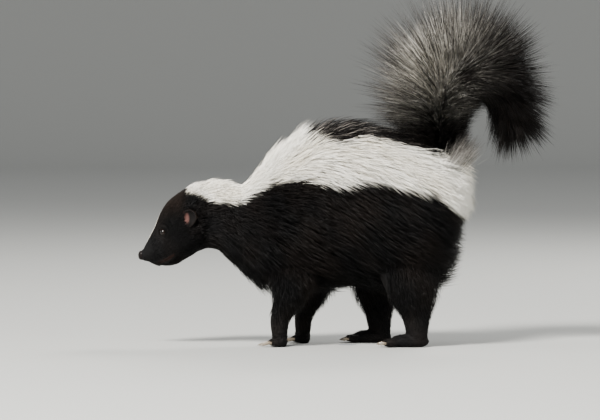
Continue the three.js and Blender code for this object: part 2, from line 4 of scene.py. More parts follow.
import bpy
import numpy as np
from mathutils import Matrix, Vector


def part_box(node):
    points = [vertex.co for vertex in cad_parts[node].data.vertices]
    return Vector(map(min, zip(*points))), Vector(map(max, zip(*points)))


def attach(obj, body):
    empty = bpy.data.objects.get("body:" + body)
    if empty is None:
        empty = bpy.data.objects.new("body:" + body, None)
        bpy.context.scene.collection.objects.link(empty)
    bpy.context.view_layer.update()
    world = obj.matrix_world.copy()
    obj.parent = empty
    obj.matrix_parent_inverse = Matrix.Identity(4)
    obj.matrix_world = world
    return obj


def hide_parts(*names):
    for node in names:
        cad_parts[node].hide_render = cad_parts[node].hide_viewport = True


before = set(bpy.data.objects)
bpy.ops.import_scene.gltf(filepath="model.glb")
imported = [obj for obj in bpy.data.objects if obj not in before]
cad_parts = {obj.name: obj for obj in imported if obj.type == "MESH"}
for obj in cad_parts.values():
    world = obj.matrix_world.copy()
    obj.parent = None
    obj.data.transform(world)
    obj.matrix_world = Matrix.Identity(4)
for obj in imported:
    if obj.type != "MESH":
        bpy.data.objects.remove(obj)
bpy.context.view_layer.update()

# Studio. The animal stands on a pale round floor that rises into a pale wall, under soft lamps, and is seen
# from its left side by a long lens a little above its back.
MM = 0.001
LENS = 300.0
SENSOR = 36.0
CAMERA_AWAY = 5.25
CAMERA_DIP = math.radians(2.0)
VIEW_CENTRE = np.array([-21.0, 0.0, 141.75]) * MM  # in the animal's own measures, nose to the left
EYE_CENTRE = np.array([-163.8, -11.0, 118.5]) * MM
FLOOR_MIDDLE = 0.01  # radius of the floor's first ring
FLOOR_RADIUS = 7.0
WALL_BEND = 2.0
WALL_HEIGHT = 3.2
LAMPS = [
    # name, place, size, power, colour
    ("key", (-1.1, -2.3, 2.7), 0.9, 430.0, (1.0, 0.975, 0.93)),
    ("fill", (2.4, -2.4, 1.2), 1.6, 22.0, (0.92, 0.96, 1.0)),
    ("rim", (1.1, 1.9, 1.9), 0.9, 70.0, (1.0, 0.98, 0.94)),
    ("front", (-2.4, 0.3, 1.0), 0.8, 16.0, (1.0, 1.0, 1.0)),
]
LAMP_AIM = Vector((0, 0, 0.15))
WORLD_LIGHT = 0.52

eye_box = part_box("eye_left")
# What turns the animal's own measures into the frame: the left eye is at the same place in both.
OFFSET = (np.array(eye_box[0]) + np.array(eye_box[1])) / 2 - EYE_CENTRE


def principled(name, sockets):
    """A material whose shader has these plain numbers."""
    material = bpy.data.materials.new(name)
    material.use_nodes = True
    for socket, value in sockets.items():
        material.node_tree.nodes["Principled BSDF"].inputs[socket].default_value = value
    return material


def add_mesh(name, points, faces, uv=None):
    """An object at the origin with these points and faces, in the frame's metres."""
    mesh = bpy.data.meshes.new(name)
    points = np.ascontiguousarray(points, np.float32)
    faces = np.ascontiguousarray(faces, np.int32)
    sides = faces.shape[1]
    mesh.vertices.add(len(points))
    mesh.vertices.foreach_set("co", points.ravel())
    mesh.loops.add(faces.size)
    mesh.loops.foreach_set("vertex_index", faces.ravel())
    mesh.polygons.add(len(faces))
    mesh.polygons.foreach_set("loop_start", np.arange(0, faces.size, sides, dtype=np.int32))
    mesh.update(calc_edges=True)
    mesh.polygons.foreach_set("use_smooth", np.ones(len(faces), bool))
    if uv is not None:
        layer = mesh.uv_layers.new(name="OFBake")
        layer.data.foreach_set("uv", np.ascontiguousarray(uv[faces.ravel()], np.float32).ravel())
    made = bpy.data.objects.new(name, mesh)
    bpy.context.scene.collection.objects.link(made)
    return made


def grid_faces(rings, around):
    """Quads between rings of points that close on themselves."""
    r, k = np.meshgrid(np.arange(rings - 1), np.arange(around), indexing="ij")
    a, b = r * around + k, r * around + (k + 1) % around
    return np.stack([a, b, b + around, a + around], -1).reshape(-1, 4)


def full_turn(steps):
    """Angles of a whole turn in this many even steps."""
    return np.linspace(0, 2 * math.pi, steps, endpoint=False)


def studio_floor():
    """A floor turned round the upright axis: flat to its radius, then a quarter-round bend into the wall."""
    bend = np.linspace(0, math.pi / 2, 17)
    away = np.concatenate([[0.0], WALL_BEND * np.sin(bend), [WALL_BEND]]) + FLOOR_RADIUS
    away[0] = FLOOR_MIDDLE
    level = np.concatenate([[0.0], WALL_BEND * (1 - np.cos(bend)), [WALL_HEIGHT]])
    turn = full_turn(96)
    points = np.stack([
        away[:, None] * np.cos(turn), away[:, None] * np.sin(turn), np.repeat(level[:, None], len(turn), 1),
    ], -1)
    return add_mesh("studio_floor", points.reshape(-1, 3), grid_faces(len(away), len(turn)))


floor = studio_floor()
floor.data.materials.append(
    principled("pale paper", {"Base Color": (0.37, 0.375, 0.36, 1), "Roughness": 0.9}))

for lamp_name, place, size, power, colour in LAMPS:
    light = bpy.data.lights.new(lamp_name, "AREA")
    light.size, light.energy, light.color = size, power, colour
    lamp = bpy.data.objects.new(lamp_name, light)
    lamp.location = place
    lamp.rotation_euler = (LAMP_AIM - Vector(place)).to_track_quat("-Z", "Y").to_euler()
    bpy.context.scene.collection.objects.link(lamp)

world = bpy.data.worlds.new("studio")
world.use_nodes = True
world.node_tree.nodes["Background"].inputs["Color"].default_value = (0.95, 0.97, 1.0, 1)
world.node_tree.nodes["Background"].inputs["Strength"].default_value = WORLD_LIGHT
bpy.context.scene.world = world

camera_data = bpy.data.cameras.new("camera")
camera_data.lens, camera_data.sensor_width = LENS, SENSOR
camera_data.clip_end = 60
camera = bpy.data.objects.new("camera", camera_data)
aim = VIEW_CENTRE + OFFSET
camera.location = aim + CAMERA_AWAY * np.array([0, -math.cos(CAMERA_DIP), math.sin(CAMERA_DIP)])
camera.rotation_euler = (math.pi / 2 - CAMERA_DIP, 0, 0)
bpy.context.scene.collection.objects.link(camera)
bpy.context.scene.camera = camera

# Skin of the body, from the nose to the rump. It is one closed surface through egg-shaped rings, with the
# swellings, lids and lips of the face raised in it, and it lies under the coat by the coat's depth.
STATIONS = np.array([
    # top x, top z, bottom x, bottom z, half width, depth of coat
    [-185.5, 101, -182.5, 87.5, 8, 1],
    [-180.5, 111.5, -175.5, 85, 11.5, 1.5],
    [-174, 124, -165.5, 83, 14.5, 2],
    [-168.5, 137, -153.5, 84, 19, 3],
    [-160.5, 149.5, -141, 90, 25.5, 4],
    [-148, 160.5, -130, 96, 30.5, 6],
    [-132, 170, -121, 98.5, 32, 8],
    [-110, 173, -109, 97.5, 32.5, 10],
    [-86, 170, -93.5, 87.5, 36, 12],
    [-66, 181.5, -78, 74, 42, 14],
    [-42, 204.5, -58, 60, 49, 16],
    [-8, 229, -18, 55, 56, 18],
    [28, 236, 25, 59.5, 62, 20],
    [65, 229.5, 62, 56, 68, 22],
    [101, 217, 94, 57, 71, 24],
    [131, 206, 118, 68, 66, 26],
    [154, 193, 138, 98, 48, 26],
    [164.5, 170, 158, 132, 20, 20],
]) * MM
LAST = len(STATIONS) - 1
HEAD_END = 6.25  # station behind the ears
RUMP_FROM = 14.0  # station where the back begins to round off to the rear
BELLY_FULLNESS = 0.12
SKIN_SHARE = 0.62  # how much of the coat's depth the skin lies down
FACE_SHARE = 0.35  # the same on the short hair of the face
FACE_FORMS = np.array([
    # place with y outwards on either side, reach, height
    [-177, 9, 96, 8, 1.7],  # whisker pad
    [-163, 13, 127, 6.5, 1.6],  # brow
    [-167, 14, 113, 7.5, -1.7],  # hollow before the eye
    [-140, 30, 108, 15, 3.4],  # cheek
    [-146, 26, 142, 11, -1.8],  # temple
]) * MM
EYE_RADIUS = 4.4 * MM
EYE_AIM = np.array([-0.5, 0.84, 0.2]) / np.linalg.norm([-0.5, 0.84, 0.2])
LID_LONG = 4.1 * MM  # half the opening of the lids, along and across
LID_TALL = 3.1 * MM
LID_RAISE = 1 * MM
LID_CREST = 1.22  # where the lids stand highest, in half openings from the eye's middle
LID_CREST_WIDE = 0.2
SOCKET_DEPTH = 4.5 * MM
MOUTH = np.array([[-190, 90.4], [-181, 87.4], [-172, 86.6], [-163, 89.4], [-152, 95.5]]) * MM
MOUTH_DEPTH = 1.3 * MM
MOUTH_HALF = 0.75 * MM
LIP_RAISE = 0.8 * MM
LIP_AWAY = 1.9 * MM  # from the middle of the mouth to the middle of each lip
LIP_HALF = 1 * MM
EAR_CENTRE = np.array([-136.5, 26.5, 133.0]) * MM
EAR_WIDE = 9.6 * MM
EAR_SEAT = 6.5 * MM  # how deep the side of the head dips under an ear
MUZZLE_ROUND = 3.6 * MM  # how far the muzzle's end swells forward round the nose pad
MUZZLE_AIM = np.array([-1.0, 0, -0.3])
HEAD_RINGS = 170
BODY_RINGS = 96
RING_POINTS = 190


def unit(vectors):
    """Each vector over its own length."""
    return vectors / np.maximum(np.linalg.norm(vectors, axis=-1, keepdims=True), 1e-12)


def smooth_step(x, low, high):
    """0 below low, 1 above high, and 3u^2 - 2u^3 between."""
    u = np.clip((x - low) / (high - low), 0, 1)
    return u * u * (3 - 2 * u)


def through(rows, t):
    """The cubic through the rows, its slope at each half the step from the row before to the row after."""
    rows = np.asarray(rows, float)
    t = np.asarray(t, float)
    i = np.clip(np.floor(t).astype(int), 0, len(rows) - 2)
    u = (t - i)[..., None]
    a, b, c, d = (rows[np.clip(i + k, 0, len(rows) - 1)] for k in (-1, 0, 1, 2))
    return 0.5 * (2 * b + (c - a) * u + (2 * a - 5 * b + 4 * c - d) * u**2 + (3 * b - a - 3 * c + d) * u**3)


def on_one_side(points):
    """The points with the left side's moved to the same places on the right."""
    return np.concatenate([points[..., :1], np.abs(points[..., 1:2]), points[..., 2:]], -1)


def mouth_height(x):
    """Level of the mouth at each x, the cubic through its points on even steps of x."""
    fine = through(MOUTH, np.linspace(0, len(MOUTH) - 1, 60))
    return np.interp(x, fine[:, 0], fine[:, 1])


def face_shift(points, away):
    """How far each point of the face moves along away: a bell for each form, lids as a ridge round an
    almond opening that sinks behind the eye, and lips as two ridges beside a groove."""
    mirrored = on_one_side(points)
    shift = np.zeros(points.shape[:-1])
    for *place, reach, height in FACE_FORMS:
        shift += height * np.exp(-np.sum(((mirrored - place) / reach) ** 2, -1))
    eye = EYE_CENTRE * [1, -1, 1]
    from_eye = mirrored - eye
    along = from_eye @ EYE_AIM
    flat = from_eye - along[..., None] * EYE_AIM
    level = unit(np.cross([0, 0, 1], EYE_AIM))
    rise = np.cross(EYE_AIM, level)
    almond = np.hypot(flat @ level / LID_LONG, flat @ rise / LID_TALL)
    near = along > -2 * MM
    shift += near * LID_RAISE * np.exp(-(((almond - LID_CREST) / LID_CREST_WIDE) ** 2))
    shift -= near * SOCKET_DEPTH * (1 - smooth_step(almond, 0.78, 1.0))
    from_ear = mirrored - EAR_CENTRE
    shift -= EAR_SEAT * np.exp(-((np.linalg.norm(from_ear, axis=-1) / EAR_WIDE) ** 4))
    gap = points[..., 2] - mouth_height(points[..., 0])
    reach = smooth_step(points[..., 0], -152 * MM, -157 * MM) * smooth_step(away[..., 2], 0.75, 0.55)
    shift -= reach * MOUTH_DEPTH * np.exp(-((gap / MOUTH_HALF) ** 2))
    shift += reach * LIP_RAISE * np.exp(-(((np.abs(gap) - LIP_AWAY) / LIP_HALF) ** 2))
    return shift


def body_at(t, angle, share):
    """Point of the body: the ring's middle, plus its half height times the cosine of the angle along its own
    slope and its half width times the sine across, both less a share of the coat's depth, which at the rump
    also draws it forwards."""
    row = through(STATIONS, t)
    top = np.stack([row[..., 0], np.zeros_like(t), row[..., 1]], -1)
    bottom = np.stack([row[..., 2], np.zeros_like(t), row[..., 3]], -1)
    depth = row[..., 5] * share
    half_line = (top - bottom) / 2
    tall = np.linalg.norm(half_line, axis=-1)
    cosine = np.cos(angle)
    width = np.maximum((row[..., 4] - depth) * (1 - BELLY_FULLNESS * cosine), 0.5 * MM)
    away = half_line / tall[..., None] * (np.maximum(tall - depth, 0.5 * MM) * cosine)[..., None]
    away[..., 1] -= np.sin(angle) * width
    point = (top + bottom) / 2 + away
    point[..., 0] -= depth * smooth_step(t, RUMP_FROM, LAST)
    on_face = (1 - smooth_step(t, HEAD_END - 0.6, HEAD_END))[..., None]
    direction = unit(away)
    return point + direction * face_shift(point, direction)[..., None] * on_face


def skin_share(t):
    """The skin's share of the coat's depth, from the face to the body."""
    return FACE_SHARE + (SKIN_SHARE - FACE_SHARE) * smooth_step(t, 3.5, HEAD_END + 0.5)


def closed_tube(rings):
    """Points and quads of a tube through an array of rings, its ends drawn in to a small closed ring."""
    ends = []
    for ring in (rings[0], rings[-1]):
        middle = ring.mean(0)
        ends.append(np.stack([middle + (ring - middle) * k for k in (0.66, 0.33, 0.01)]))
    whole = np.concatenate([ends[0][::-1], rings, ends[1]])
    return whole.reshape(-1, 3), grid_faces(len(whole), rings.shape[1])


ring_t = np.concatenate([
    np.linspace(0, HEAD_END, HEAD_RINGS, endpoint=False), np.linspace(HEAD_END, LAST, BODY_RINGS),
])
ring_angle = full_turn(RING_POINTS)
grid_t, grid_angle = np.meshgrid(ring_t, ring_angle, indexing="ij")
body_rings = body_at(grid_t, grid_angle, skin_share(grid_t))
muzzle_turn = np.radians(np.linspace(78, 12, 7))[:, None, None]
muzzle_middle = body_rings[0].mean(0)
muzzle_end = (
    muzzle_middle + (body_rings[0] - muzzle_middle) * np.cos(muzzle_turn)
    + MUZZLE_AIM * MUZZLE_ROUND * np.sin(muzzle_turn)
)
body_points, body_faces = closed_tube(np.concatenate([muzzle_end, body_rings]))

# Ears. Each is a small round cup of thin skin, low on the side of the head, open forwards and outwards. It
# grows out of a shallow seat in the skin, with short hair behind and bare pink skin in front; the back of its
# hollow keeps the coat's black as painted shade.
EAR_AIM = np.array([-0.52, 0.84, 0.12]) / np.linalg.norm([-0.52, 0.84, 0.12])
EAR_TALL = 10.4 * MM
EAR_BACK = 7 * MM
EAR_WALL = 1.3 * MM
EAR_RIM = 0.86  # share of a quarter turn at which the outer wall rolls over into the inner
EAR_PROUD = 0.42  # share of the cup's depth that stands out of the head
EAR_NOTCH = 0.12
EAR_NOTCH_TURN = 3.9


def ear_cup(side):
    """A cup turned round its own axis: the outer wall swells as a half ellipse to the rim, and the inner wall
    returns from the rim to a hollow, with the rim's roll between them and a notch at its lower front."""
    turn = full_turn(56)
    outer = np.linspace(0.04, EAR_RIM, 16) * math.pi / 2
    inner = np.linspace(EAR_RIM, 0.04, 14) * math.pi / 2
    radius = np.concatenate([np.sin(outer), np.sin(inner) * (1 - EAR_WALL / EAR_WIDE)])
    height = np.concatenate([-np.cos(outer) * EAR_BACK, -np.cos(inner) * (EAR_BACK - 2.2 * EAR_WALL)])
    height = height + EAR_BACK * EAR_PROUD
    level = unit(np.cross([0, 0, 1], EAR_AIM))
    rise = np.cross(EAR_AIM, level)
    notch = 1 - EAR_NOTCH * np.exp(-(((np.cos(turn - EAR_NOTCH_TURN) - 1) / 0.12) ** 2))
    wide, tall = np.cos(turn) * EAR_WIDE * notch, np.sin(turn) * EAR_TALL * notch
    ring = level * wide[:, None] + rise * tall[:, None]
    rings = EAR_CENTRE + ring[None] * radius[:, None, None] + EAR_AIM * height[:, None, None]
    points, faces = closed_tube(rings)
    return points * [1, side, 1], faces if side > 0 else faces[:, ::-1]


# Legs and feet. A leg is an oval tube from the body to the ankle; a foot is a flat pad with five toes that
# spread a little. Each leg and its foot are grown together and smoothed, and the sole is flat on the floor.
LEGS = {
    "front_left": dict(
        side=-1, toe=-66, heel=-36, claw=15,
        line=[[-28, 14, 96], [-30, 30, 72], [-33, 35, 50], [-42, 34, 28], [-42, 33, 7]],
        along=[27, 23, 17.5, 13, 10.5], across=[17, 16, 14, 12.5, 12],
    ),
    "front_right": dict(
        side=1, toe=-42, heel=-12, claw=15,
        line=[[-14, 14, 96], [-8, 30, 72], [-8, 35, 52], [-17, 34, 28], [-18, 33, 7]],
        along=[27, 22, 16, 12.5, 10.5], across=[17, 16, 14, 12.5, 12],
    ),
    "hind_left": dict(
        side=-1, toe=58, heel=112, claw=10,
        line=[[98, 22, 112], [92, 40, 80], [95, 44, 52], [100, 41, 30], [101, 39, 6]],
        along=[38, 34, 26, 17, 13.5], across=[22, 21, 17.5, 14, 12.5],
    ),
    "hind_right": dict(
        side=1, toe=20, heel=74, claw=10,
        line=[[76, 22, 112], [64, 40, 80], [60, 44, 52], [62, 41, 30], [64, 39, 6]],
        along=[38, 33, 24, 17, 13.5], across=[22, 21, 17.5, 14, 12.5],
    ),
}
LEG_COAT = 3 * MM  # the skin lies this far inside the leg's outline
FOOT_COAT = 1 * MM
LEG_VOXEL = 1.25 * MM
TOE_FORWARD = 2.5  # how much further forward the toes lie than the pad's front, in mm
TOE_GAP = 5.0  # from the middle of one toe to the next, in mm
TOE_FAN = 9  # degrees from one toe to the next
TOE_BACK = 1.7  # how much further back each toe outwards of the middle one lies, in mm
TOE_LEVEL = 4.6
TOE_RADII = np.array([8.2, 3.1, 4.3]) * MM
PAD_WIDE = 11.6  # half width, half height and level of the pad, in mm
PAD_TALL = 7.8
PAD_LEVEL = 6.0


def ellipsoid(centre, radii, heading=0.0, rings=18, around=24):
    """A closed ball stretched by its three radii and turned about the upright axis."""
    down = np.linspace(0.02, math.pi - 0.02, rings)
    turn = full_turn(around)
    ball = np.stack([
        np.sin(down)[:, None] * np.cos(turn), np.sin(down)[:, None] * np.sin(turn),
        np.repeat(np.cos(down)[:, None], around, 1),
    ], -1) * radii
    c, s = math.cos(heading), math.sin(heading)
    turned = ball @ np.array([[c, s, 0], [-s, c, 0], [0, 0, 1]])
    points, faces = closed_tube(turned + centre)
    return points, faces[:, ::-1]


def pad_front(leg):
    """Where the toes begin: behind the claws' tips by a claw and the length of a toe's end, in mm."""
    return leg["toe"] + leg["claw"] + 6


def toe_places(leg):
    """Middle and heading of each of a foot's five toes, from one side to the other."""
    y = leg["side"] * leg["line"][-1][1]
    for k in range(-2, 3):
        x = pad_front(leg) + abs(k) * TOE_BACK - TOE_FORWARD
        yield np.array([x, y + k * TOE_GAP, TOE_LEVEL]) * MM, math.radians(k * TOE_FAN)


def join_forms(forms):
    """One set of points and faces from several."""
    points, faces, first = [], [], 0
    for p, f in forms:
        points.append(p)
        faces.append(f + first)
        first += len(p)
    return np.concatenate(points), np.concatenate(faces)


def leg_ovals(leg, steps):
    """Middles and half widths of a leg's ovals, through its line in even steps."""
    line = np.array(leg["line"]) * [1, leg["side"], 1] * MM
    u = np.linspace(0, len(line) - 1, steps)
    return through(line, u), through(np.stack([leg["along"], leg["across"]], 1), u) * MM - LEG_COAT


def leg_form(leg):
    """Points and quads of one leg with its foot, grown together on a fine grid of cells."""
    turn = full_turn(32)
    centre, sizes = leg_ovals(leg, 26)
    oval = np.stack([
        sizes[:, :1] * np.cos(turn), sizes[:, 1:] * np.sin(turn), np.zeros((len(sizes), len(turn))),
    ], -1)
    tube, tube_faces = closed_tube(centre[:, None] + oval)
    y = leg["side"] * leg["line"][-1][1]
    pad_middle = np.array([(pad_front(leg) + leg["heel"]) / 2, y, PAD_LEVEL]) * MM
    pad_half = (leg["heel"] - pad_front(leg)) / 2 + 2
    forms = [
        (tube, tube_faces[:, ::-1]),
        ellipsoid(pad_middle, np.array([pad_half, PAD_WIDE, PAD_TALL]) * MM),
    ]
    for place, fan in toe_places(leg):
        forms.append(ellipsoid(place, TOE_RADII - FOOT_COAT * 0.3, -fan))
    points, faces = join_forms(forms)
    grown = add_mesh("leg", points, faces)
    remesh = grown.modifiers.new("grow", "REMESH")
    remesh.mode, remesh.voxel_size = "VOXEL", LEG_VOXEL
    ease = grown.modifiers.new("ease", "SMOOTH")
    ease.factor, ease.iterations = 0.5, 2
    shape = grown.evaluated_get(bpy.context.evaluated_depsgraph_get()).to_mesh()
    points = np.empty(len(shape.vertices) * 3)
    shape.vertices.foreach_get("co", points)
    faces = np.empty(len(shape.loops), np.int32)
    shape.loops.foreach_get("vertex_index", faces)
    bpy.data.objects.remove(grown)
    points = points.reshape(-1, 3)
    points[:, 2] = np.maximum(points[:, 2], 0.0)
    return points, faces.reshape(-1, 4)


leg_forms = {name: leg_form(leg) for name, leg in LEGS.items()}

# Tail core. The bone and flesh of the tail, a round tapering tube that rises from the rump and curls back
# over it. It is hidden by the plume, whose hair is rooted in it.
TAIL_LINE = np.array([
    [129, 0, 178], [127, 0, 220], [127, 0, 248], [136, 0, 271],
    [154, 0, 284], [174, 0, 283], [190, 0, 269], [199, 0, 249],
]) * MM
TAIL_FLESH = np.array([15, 11, 9, 8, 7, 6, 5, 3.5]) * MM
TAIL_LAST = len(TAIL_LINE) - 1
LEFT = np.array([0.0, -1.0, 0.0])


def tail_frame(s):
    """Middle, heading and outer direction of the tail at shares s of its line."""
    middle = through(TAIL_LINE, s * TAIL_LAST)
    step = 0.004
    heading = unit(through(TAIL_LINE, (s + step) * TAIL_LAST) - through(TAIL_LINE, (s - step) * TAIL_LAST))
    return middle, heading, np.cross(LEFT, heading)


def tail_away(s, angle):
    """Direction away from the tail's line, 0 on the outer side of its curl."""
    _, _, outer = tail_frame(s)
    return outer * np.cos(angle)[..., None] + LEFT * np.sin(angle)[..., None]


def along_tail(sizes, s):
    """The cubic through sizes given at even steps of the tail's line, at shares s of it."""
    return through(sizes[:, None], s * TAIL_LAST)[..., 0]


tail_s, tail_angle = np.meshgrid(np.linspace(0.0, 1.0, 60), full_turn(28), indexing="ij")
tail_rings = tail_frame(tail_s)[0] + tail_away(tail_s, tail_angle) * along_tail(TAIL_FLESH, tail_s)[..., None]
tail_points, tail_faces = closed_tube(tail_rings)

# Markings. The coat is black, with a white crown and nape that part into a stripe down each side of the
# back, and a thin white line down the face. Skin and coat both take their colour from here.
BLACK = np.array([0.0028, 0.0026, 0.0028])
BROWN_BLACK = np.array([0.018, 0.012, 0.009])
# the black of the top of the brow, painted browner and lighter as a painted sheen
FOREHEAD_SHEEN = BROWN_BLACK * 0.85
WHITE = np.array([0.93, 0.905, 0.835])
CREAM = np.array([0.84, 0.77, 0.62])
GREY = np.array([0.16, 0.145, 0.13])
PINK = np.array([0.085, 0.04, 0.035])
LIP = np.array([0.022, 0.011, 0.009])
STRIPE_LOWER = np.array([
    # x along the animal, z of the white's lower edge
    [-146, 168], [-142, 160], [-126, 154.5], [-110, 150], [-89, 151], [-79, 152], [-62, 163], [-47, 172],
    [-21, 176], [0, 170], [26, 169], [47, 173], [79, 168], [100, 161], [115, 165], [124, 157],
    [137, 145], [149, 141], [170, 142],
]) * MM
STRIPE_UPPER = np.array([
    [-22, 300], [-17, 224], [-6, 217], [21, 212], [47, 218], [66, 214], [84, 211], [105, 205], [131, 203],
    [150, 204], [170, 204],
]) * MM
REAR_PARTING_FROM = 136 * MM  # behind this the stripes part again, round a black line under the tail
REAR_PARTING_HALF = 8 * MM
BRIDGE_SHARE = 0.6  # the face line is thinner in hair than the stripes
BRIDGE_HALF = 2.3 * MM
BRIDGE_FROM = -184 * MM
BRIDGE_ABOVE = 99 * MM
BRIDGE_TO = -171 * MM


def ripple(points, seed, size):
    """Smooth noise from -1 to 1: the mean of eight waves of about this size in drawn directions."""
    draw = np.random.default_rng(seed)
    waves = draw.normal(size=(8, 3)) * (2 * math.pi / size)
    phases = draw.uniform(0, 2 * math.pi, 8)
    return np.sin(points @ waves.T / 1.7 + phases).mean(-1) * 2.0


def whiteness(points):
    """1 where the coat is white and 0 where it is black, with a soft ragged edge."""
    x, y, z = np.moveaxis(points, -1, 0)
    ragged = ripple(points, 3, 16 * MM) * 2.2 * MM
    low = np.interp(x, STRIPE_LOWER[:, 0], STRIPE_LOWER[:, 1]) + ragged
    high = np.interp(x, STRIPE_UPPER[:, 0], STRIPE_UPPER[:, 1]) + ragged * 0.8
    edge = 1.2 * MM
    stripe = smooth_step(z, low - edge, low + edge) * smooth_step(z, high + edge, high - edge)
    stripe *= smooth_step(x, -146 * MM, -143 * MM)
    parting = smooth_step(np.abs(y) + ragged, REAR_PARTING_HALF + edge, REAR_PARTING_HALF - edge)
    stripe *= 1 - smooth_step(x, REAR_PARTING_FROM, REAR_PARTING_FROM + 6 * MM) * parting
    taper = smooth_step(x, BRIDGE_FROM - 2 * MM, BRIDGE_FROM + 4 * MM)
    taper *= smooth_step(x, BRIDGE_TO + 6 * MM, BRIDGE_TO - 3 * MM)
    half = BRIDGE_HALF * taper + ragged * 0.15
    face = smooth_step(np.abs(y), half + 0.4 * MM, half - 0.4 * MM) * smooth_step(taper, 0.02, 0.2)
    face = face * (z > BRIDGE_ABOVE)
    return np.maximum(stripe, face * BRIDGE_SHARE)


def coat_colour(points):
    """White or black hair colour at each place, the black browner by patches on the flanks, and browner on
    the top of the brow as a painted sheen.
    """
    brown = np.clip(0.25 + 0.5 * ripple(points, 5, 40 * MM), 0, 1)[..., None]
    dark = BLACK + (BROWN_BLACK - BLACK) * brown * 0.5
    x, _, z = np.moveaxis(points, -1, 0)
    # Painted sheen: the top of the brow is painted browner than the rest of the black.
    brow_sheen = smooth_step(x, -140 * MM, -150 * MM) * smooth_step(z, 128 * MM, 150 * MM)
    dark = dark + (FOREHEAD_SHEEN - dark) * (0.75 * brow_sheen)[..., None]
    cream = np.clip(0.3 + 0.6 * ripple(points, 7, 28 * MM), 0, 1)[..., None]
    light = WHITE + (CREAM - WHITE) * cream * 0.6
    share = whiteness(points)[..., None]
    return dark + (light - dark) * share


def paint(thing, colours):
    """Stores a colour for each point of a mesh, which its material reads."""
    attribute = thing.data.attributes.new("coat", "FLOAT_COLOR", "POINT")
    rgba = np.concatenate([colours, np.ones((len(colours), 1))], 1)
    attribute.data.foreach_set("color", np.ascontiguousarray(rgba, np.float32).ravel())


# The one skin. Body, ears, legs, feet and tail core are one mesh, in the colours of the coat that grows on
# it, with bare pink skin in the ears and brown lips.
SKIN_DARKER = 0.8
# Each pair is where a colour begins and where it is full.
TAIL_GREYS = np.array([236, 256]) * MM  # level on the tail
LIP_REACH = np.array([2.4, 1.1]) * MM  # from the line of the mouth
LIP_BACK = np.array([-150, -154]) * MM  # x at the corner of the mouth
LIP_FRONT = np.array([-172, -163]) * MM  # x below the nose
EAR_BARE = np.array([8.6, 7.0]) * MM  # from the ear's own axis
EAR_PATCH = (1.25, 0.5)  # from the patch's middle, in its half sizes
PATCH_MIDDLE = np.array([-3.0, 0.5]) * MM  # x and z from the ear's centre
PATCH_HALF = np.array([2.9, 6.4]) * MM
EAR_FLOOR = -4.5 * MM  # the hollow's bare skin goes this deep

flesh = [(body_points, body_faces), ear_cup(1), ear_cup(-1), (tail_points, tail_faces), *leg_forms.values()]
skin_points, skin_faces = join_forms(flesh)
first = np.cumsum([0] + [len(points) for points, _ in flesh])
skin = add_mesh("skin", skin_points + OFFSET, skin_faces)
skin_colours = coat_colour(skin_points) * SKIN_DARKER
greying = smooth_step(tail_points[:, 2], *TAIL_GREYS)[:, None]
skin_colours[first[3]:first[4]] = BLACK + (GREY - BLACK) * greying
for form, side in ((1, 1), (2, -1)):
    own = slice(first[form], first[form + 1])
    from_ear = skin_points[own] - EAR_CENTRE * [1, side, 1]
    aim_out = EAR_AIM * [1, side, 1]
    depth = from_ear @ aim_out
    across = np.linalg.norm(from_ear - depth[:, None] * aim_out, axis=1)
    # Only a patch at the front of the hollow is bare pink; the back of the hollow stays black as painted
    # shade.
    front = np.linalg.norm((from_ear[:, [0, 2]] - PATCH_MIDDLE) / PATCH_HALF, axis=1)
    bare = smooth_step(across, *EAR_BARE) * (depth > EAR_FLOOR) * smooth_step(front, *EAR_PATCH)
    skin_colours[own] += (PINK - skin_colours[own]) * bare[:, None]
x = skin_points[:, 0]
lips = smooth_step(np.abs(skin_points[:, 2] - mouth_height(x)), *LIP_REACH)
lips *= smooth_step(x, *LIP_BACK) * smooth_step(x, *LIP_FRONT)
skin_colours += (LIP - skin_colours) * lips[:, None]
paint(skin, skin_colours)


def surface(material, socket, value):
    """Links a value to a socket of the material's shader."""
    material.node_tree.links.new(value, material.node_tree.nodes["Principled BSDF"].inputs[socket])


def painted_colour(material):
    """The colour stored on the mesh by paint."""
    tint = material.node_tree.nodes.new("ShaderNodeAttribute")
    tint.attribute_name = "coat"
    return tint.outputs["Color"]


def texture(material, kind, scale):
    """A texture of this scale, placed by the object's own coordinates."""
    made = material.node_tree.nodes.new(kind)
    made.inputs["Scale"].default_value = scale
    place_of = material.node_tree.nodes.new("ShaderNodeTexCoord")
    material.node_tree.links.new(place_of.outputs["Object"], made.inputs["Vector"])
    return made


def relief(material, height, strength, distance):
    """Fine bumps on the surface, as high as a texture's value."""
    bump = material.node_tree.nodes.new("ShaderNodeBump")
    bump.inputs["Strength"].default_value = strength
    bump.inputs["Distance"].default_value = distance
    material.node_tree.links.new(height, bump.inputs["Height"])
    surface(material, "Normal", bump.outputs["Normal"])


def two_colours(material, share, low, high):
    """A surface that passes from one colour to the other by a texture's value."""
    shade = material.node_tree.nodes.new("ShaderNodeValToRGB")
    shade.color_ramp.elements[0].color = low
    shade.color_ramp.elements[1].color = high
    material.node_tree.links.new(share, shade.inputs["Fac"])
    surface(material, "Base Color", shade.outputs["Color"])


skin_finish = principled("skin under the coat", {"Roughness": 0.8, "Specular IOR Level": 0.12})
pores = texture(skin_finish, "ShaderNodeTexNoise", 900)
pores.inputs["Detail"].default_value = 4
relief(skin_finish, pores.outputs["Fac"], 0.35, 0.4 * MM)
surface(skin_finish, "Base Color", painted_colour(skin_finish))
skin.data.materials.append(skin_finish)
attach(skin, "root")
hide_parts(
    "head", "neck", "torso", "ear_left", "ear_right", "tail_base", "tail_end",
    *[part + name for name in LEGS for part in ("leg_", "paw_")],
)

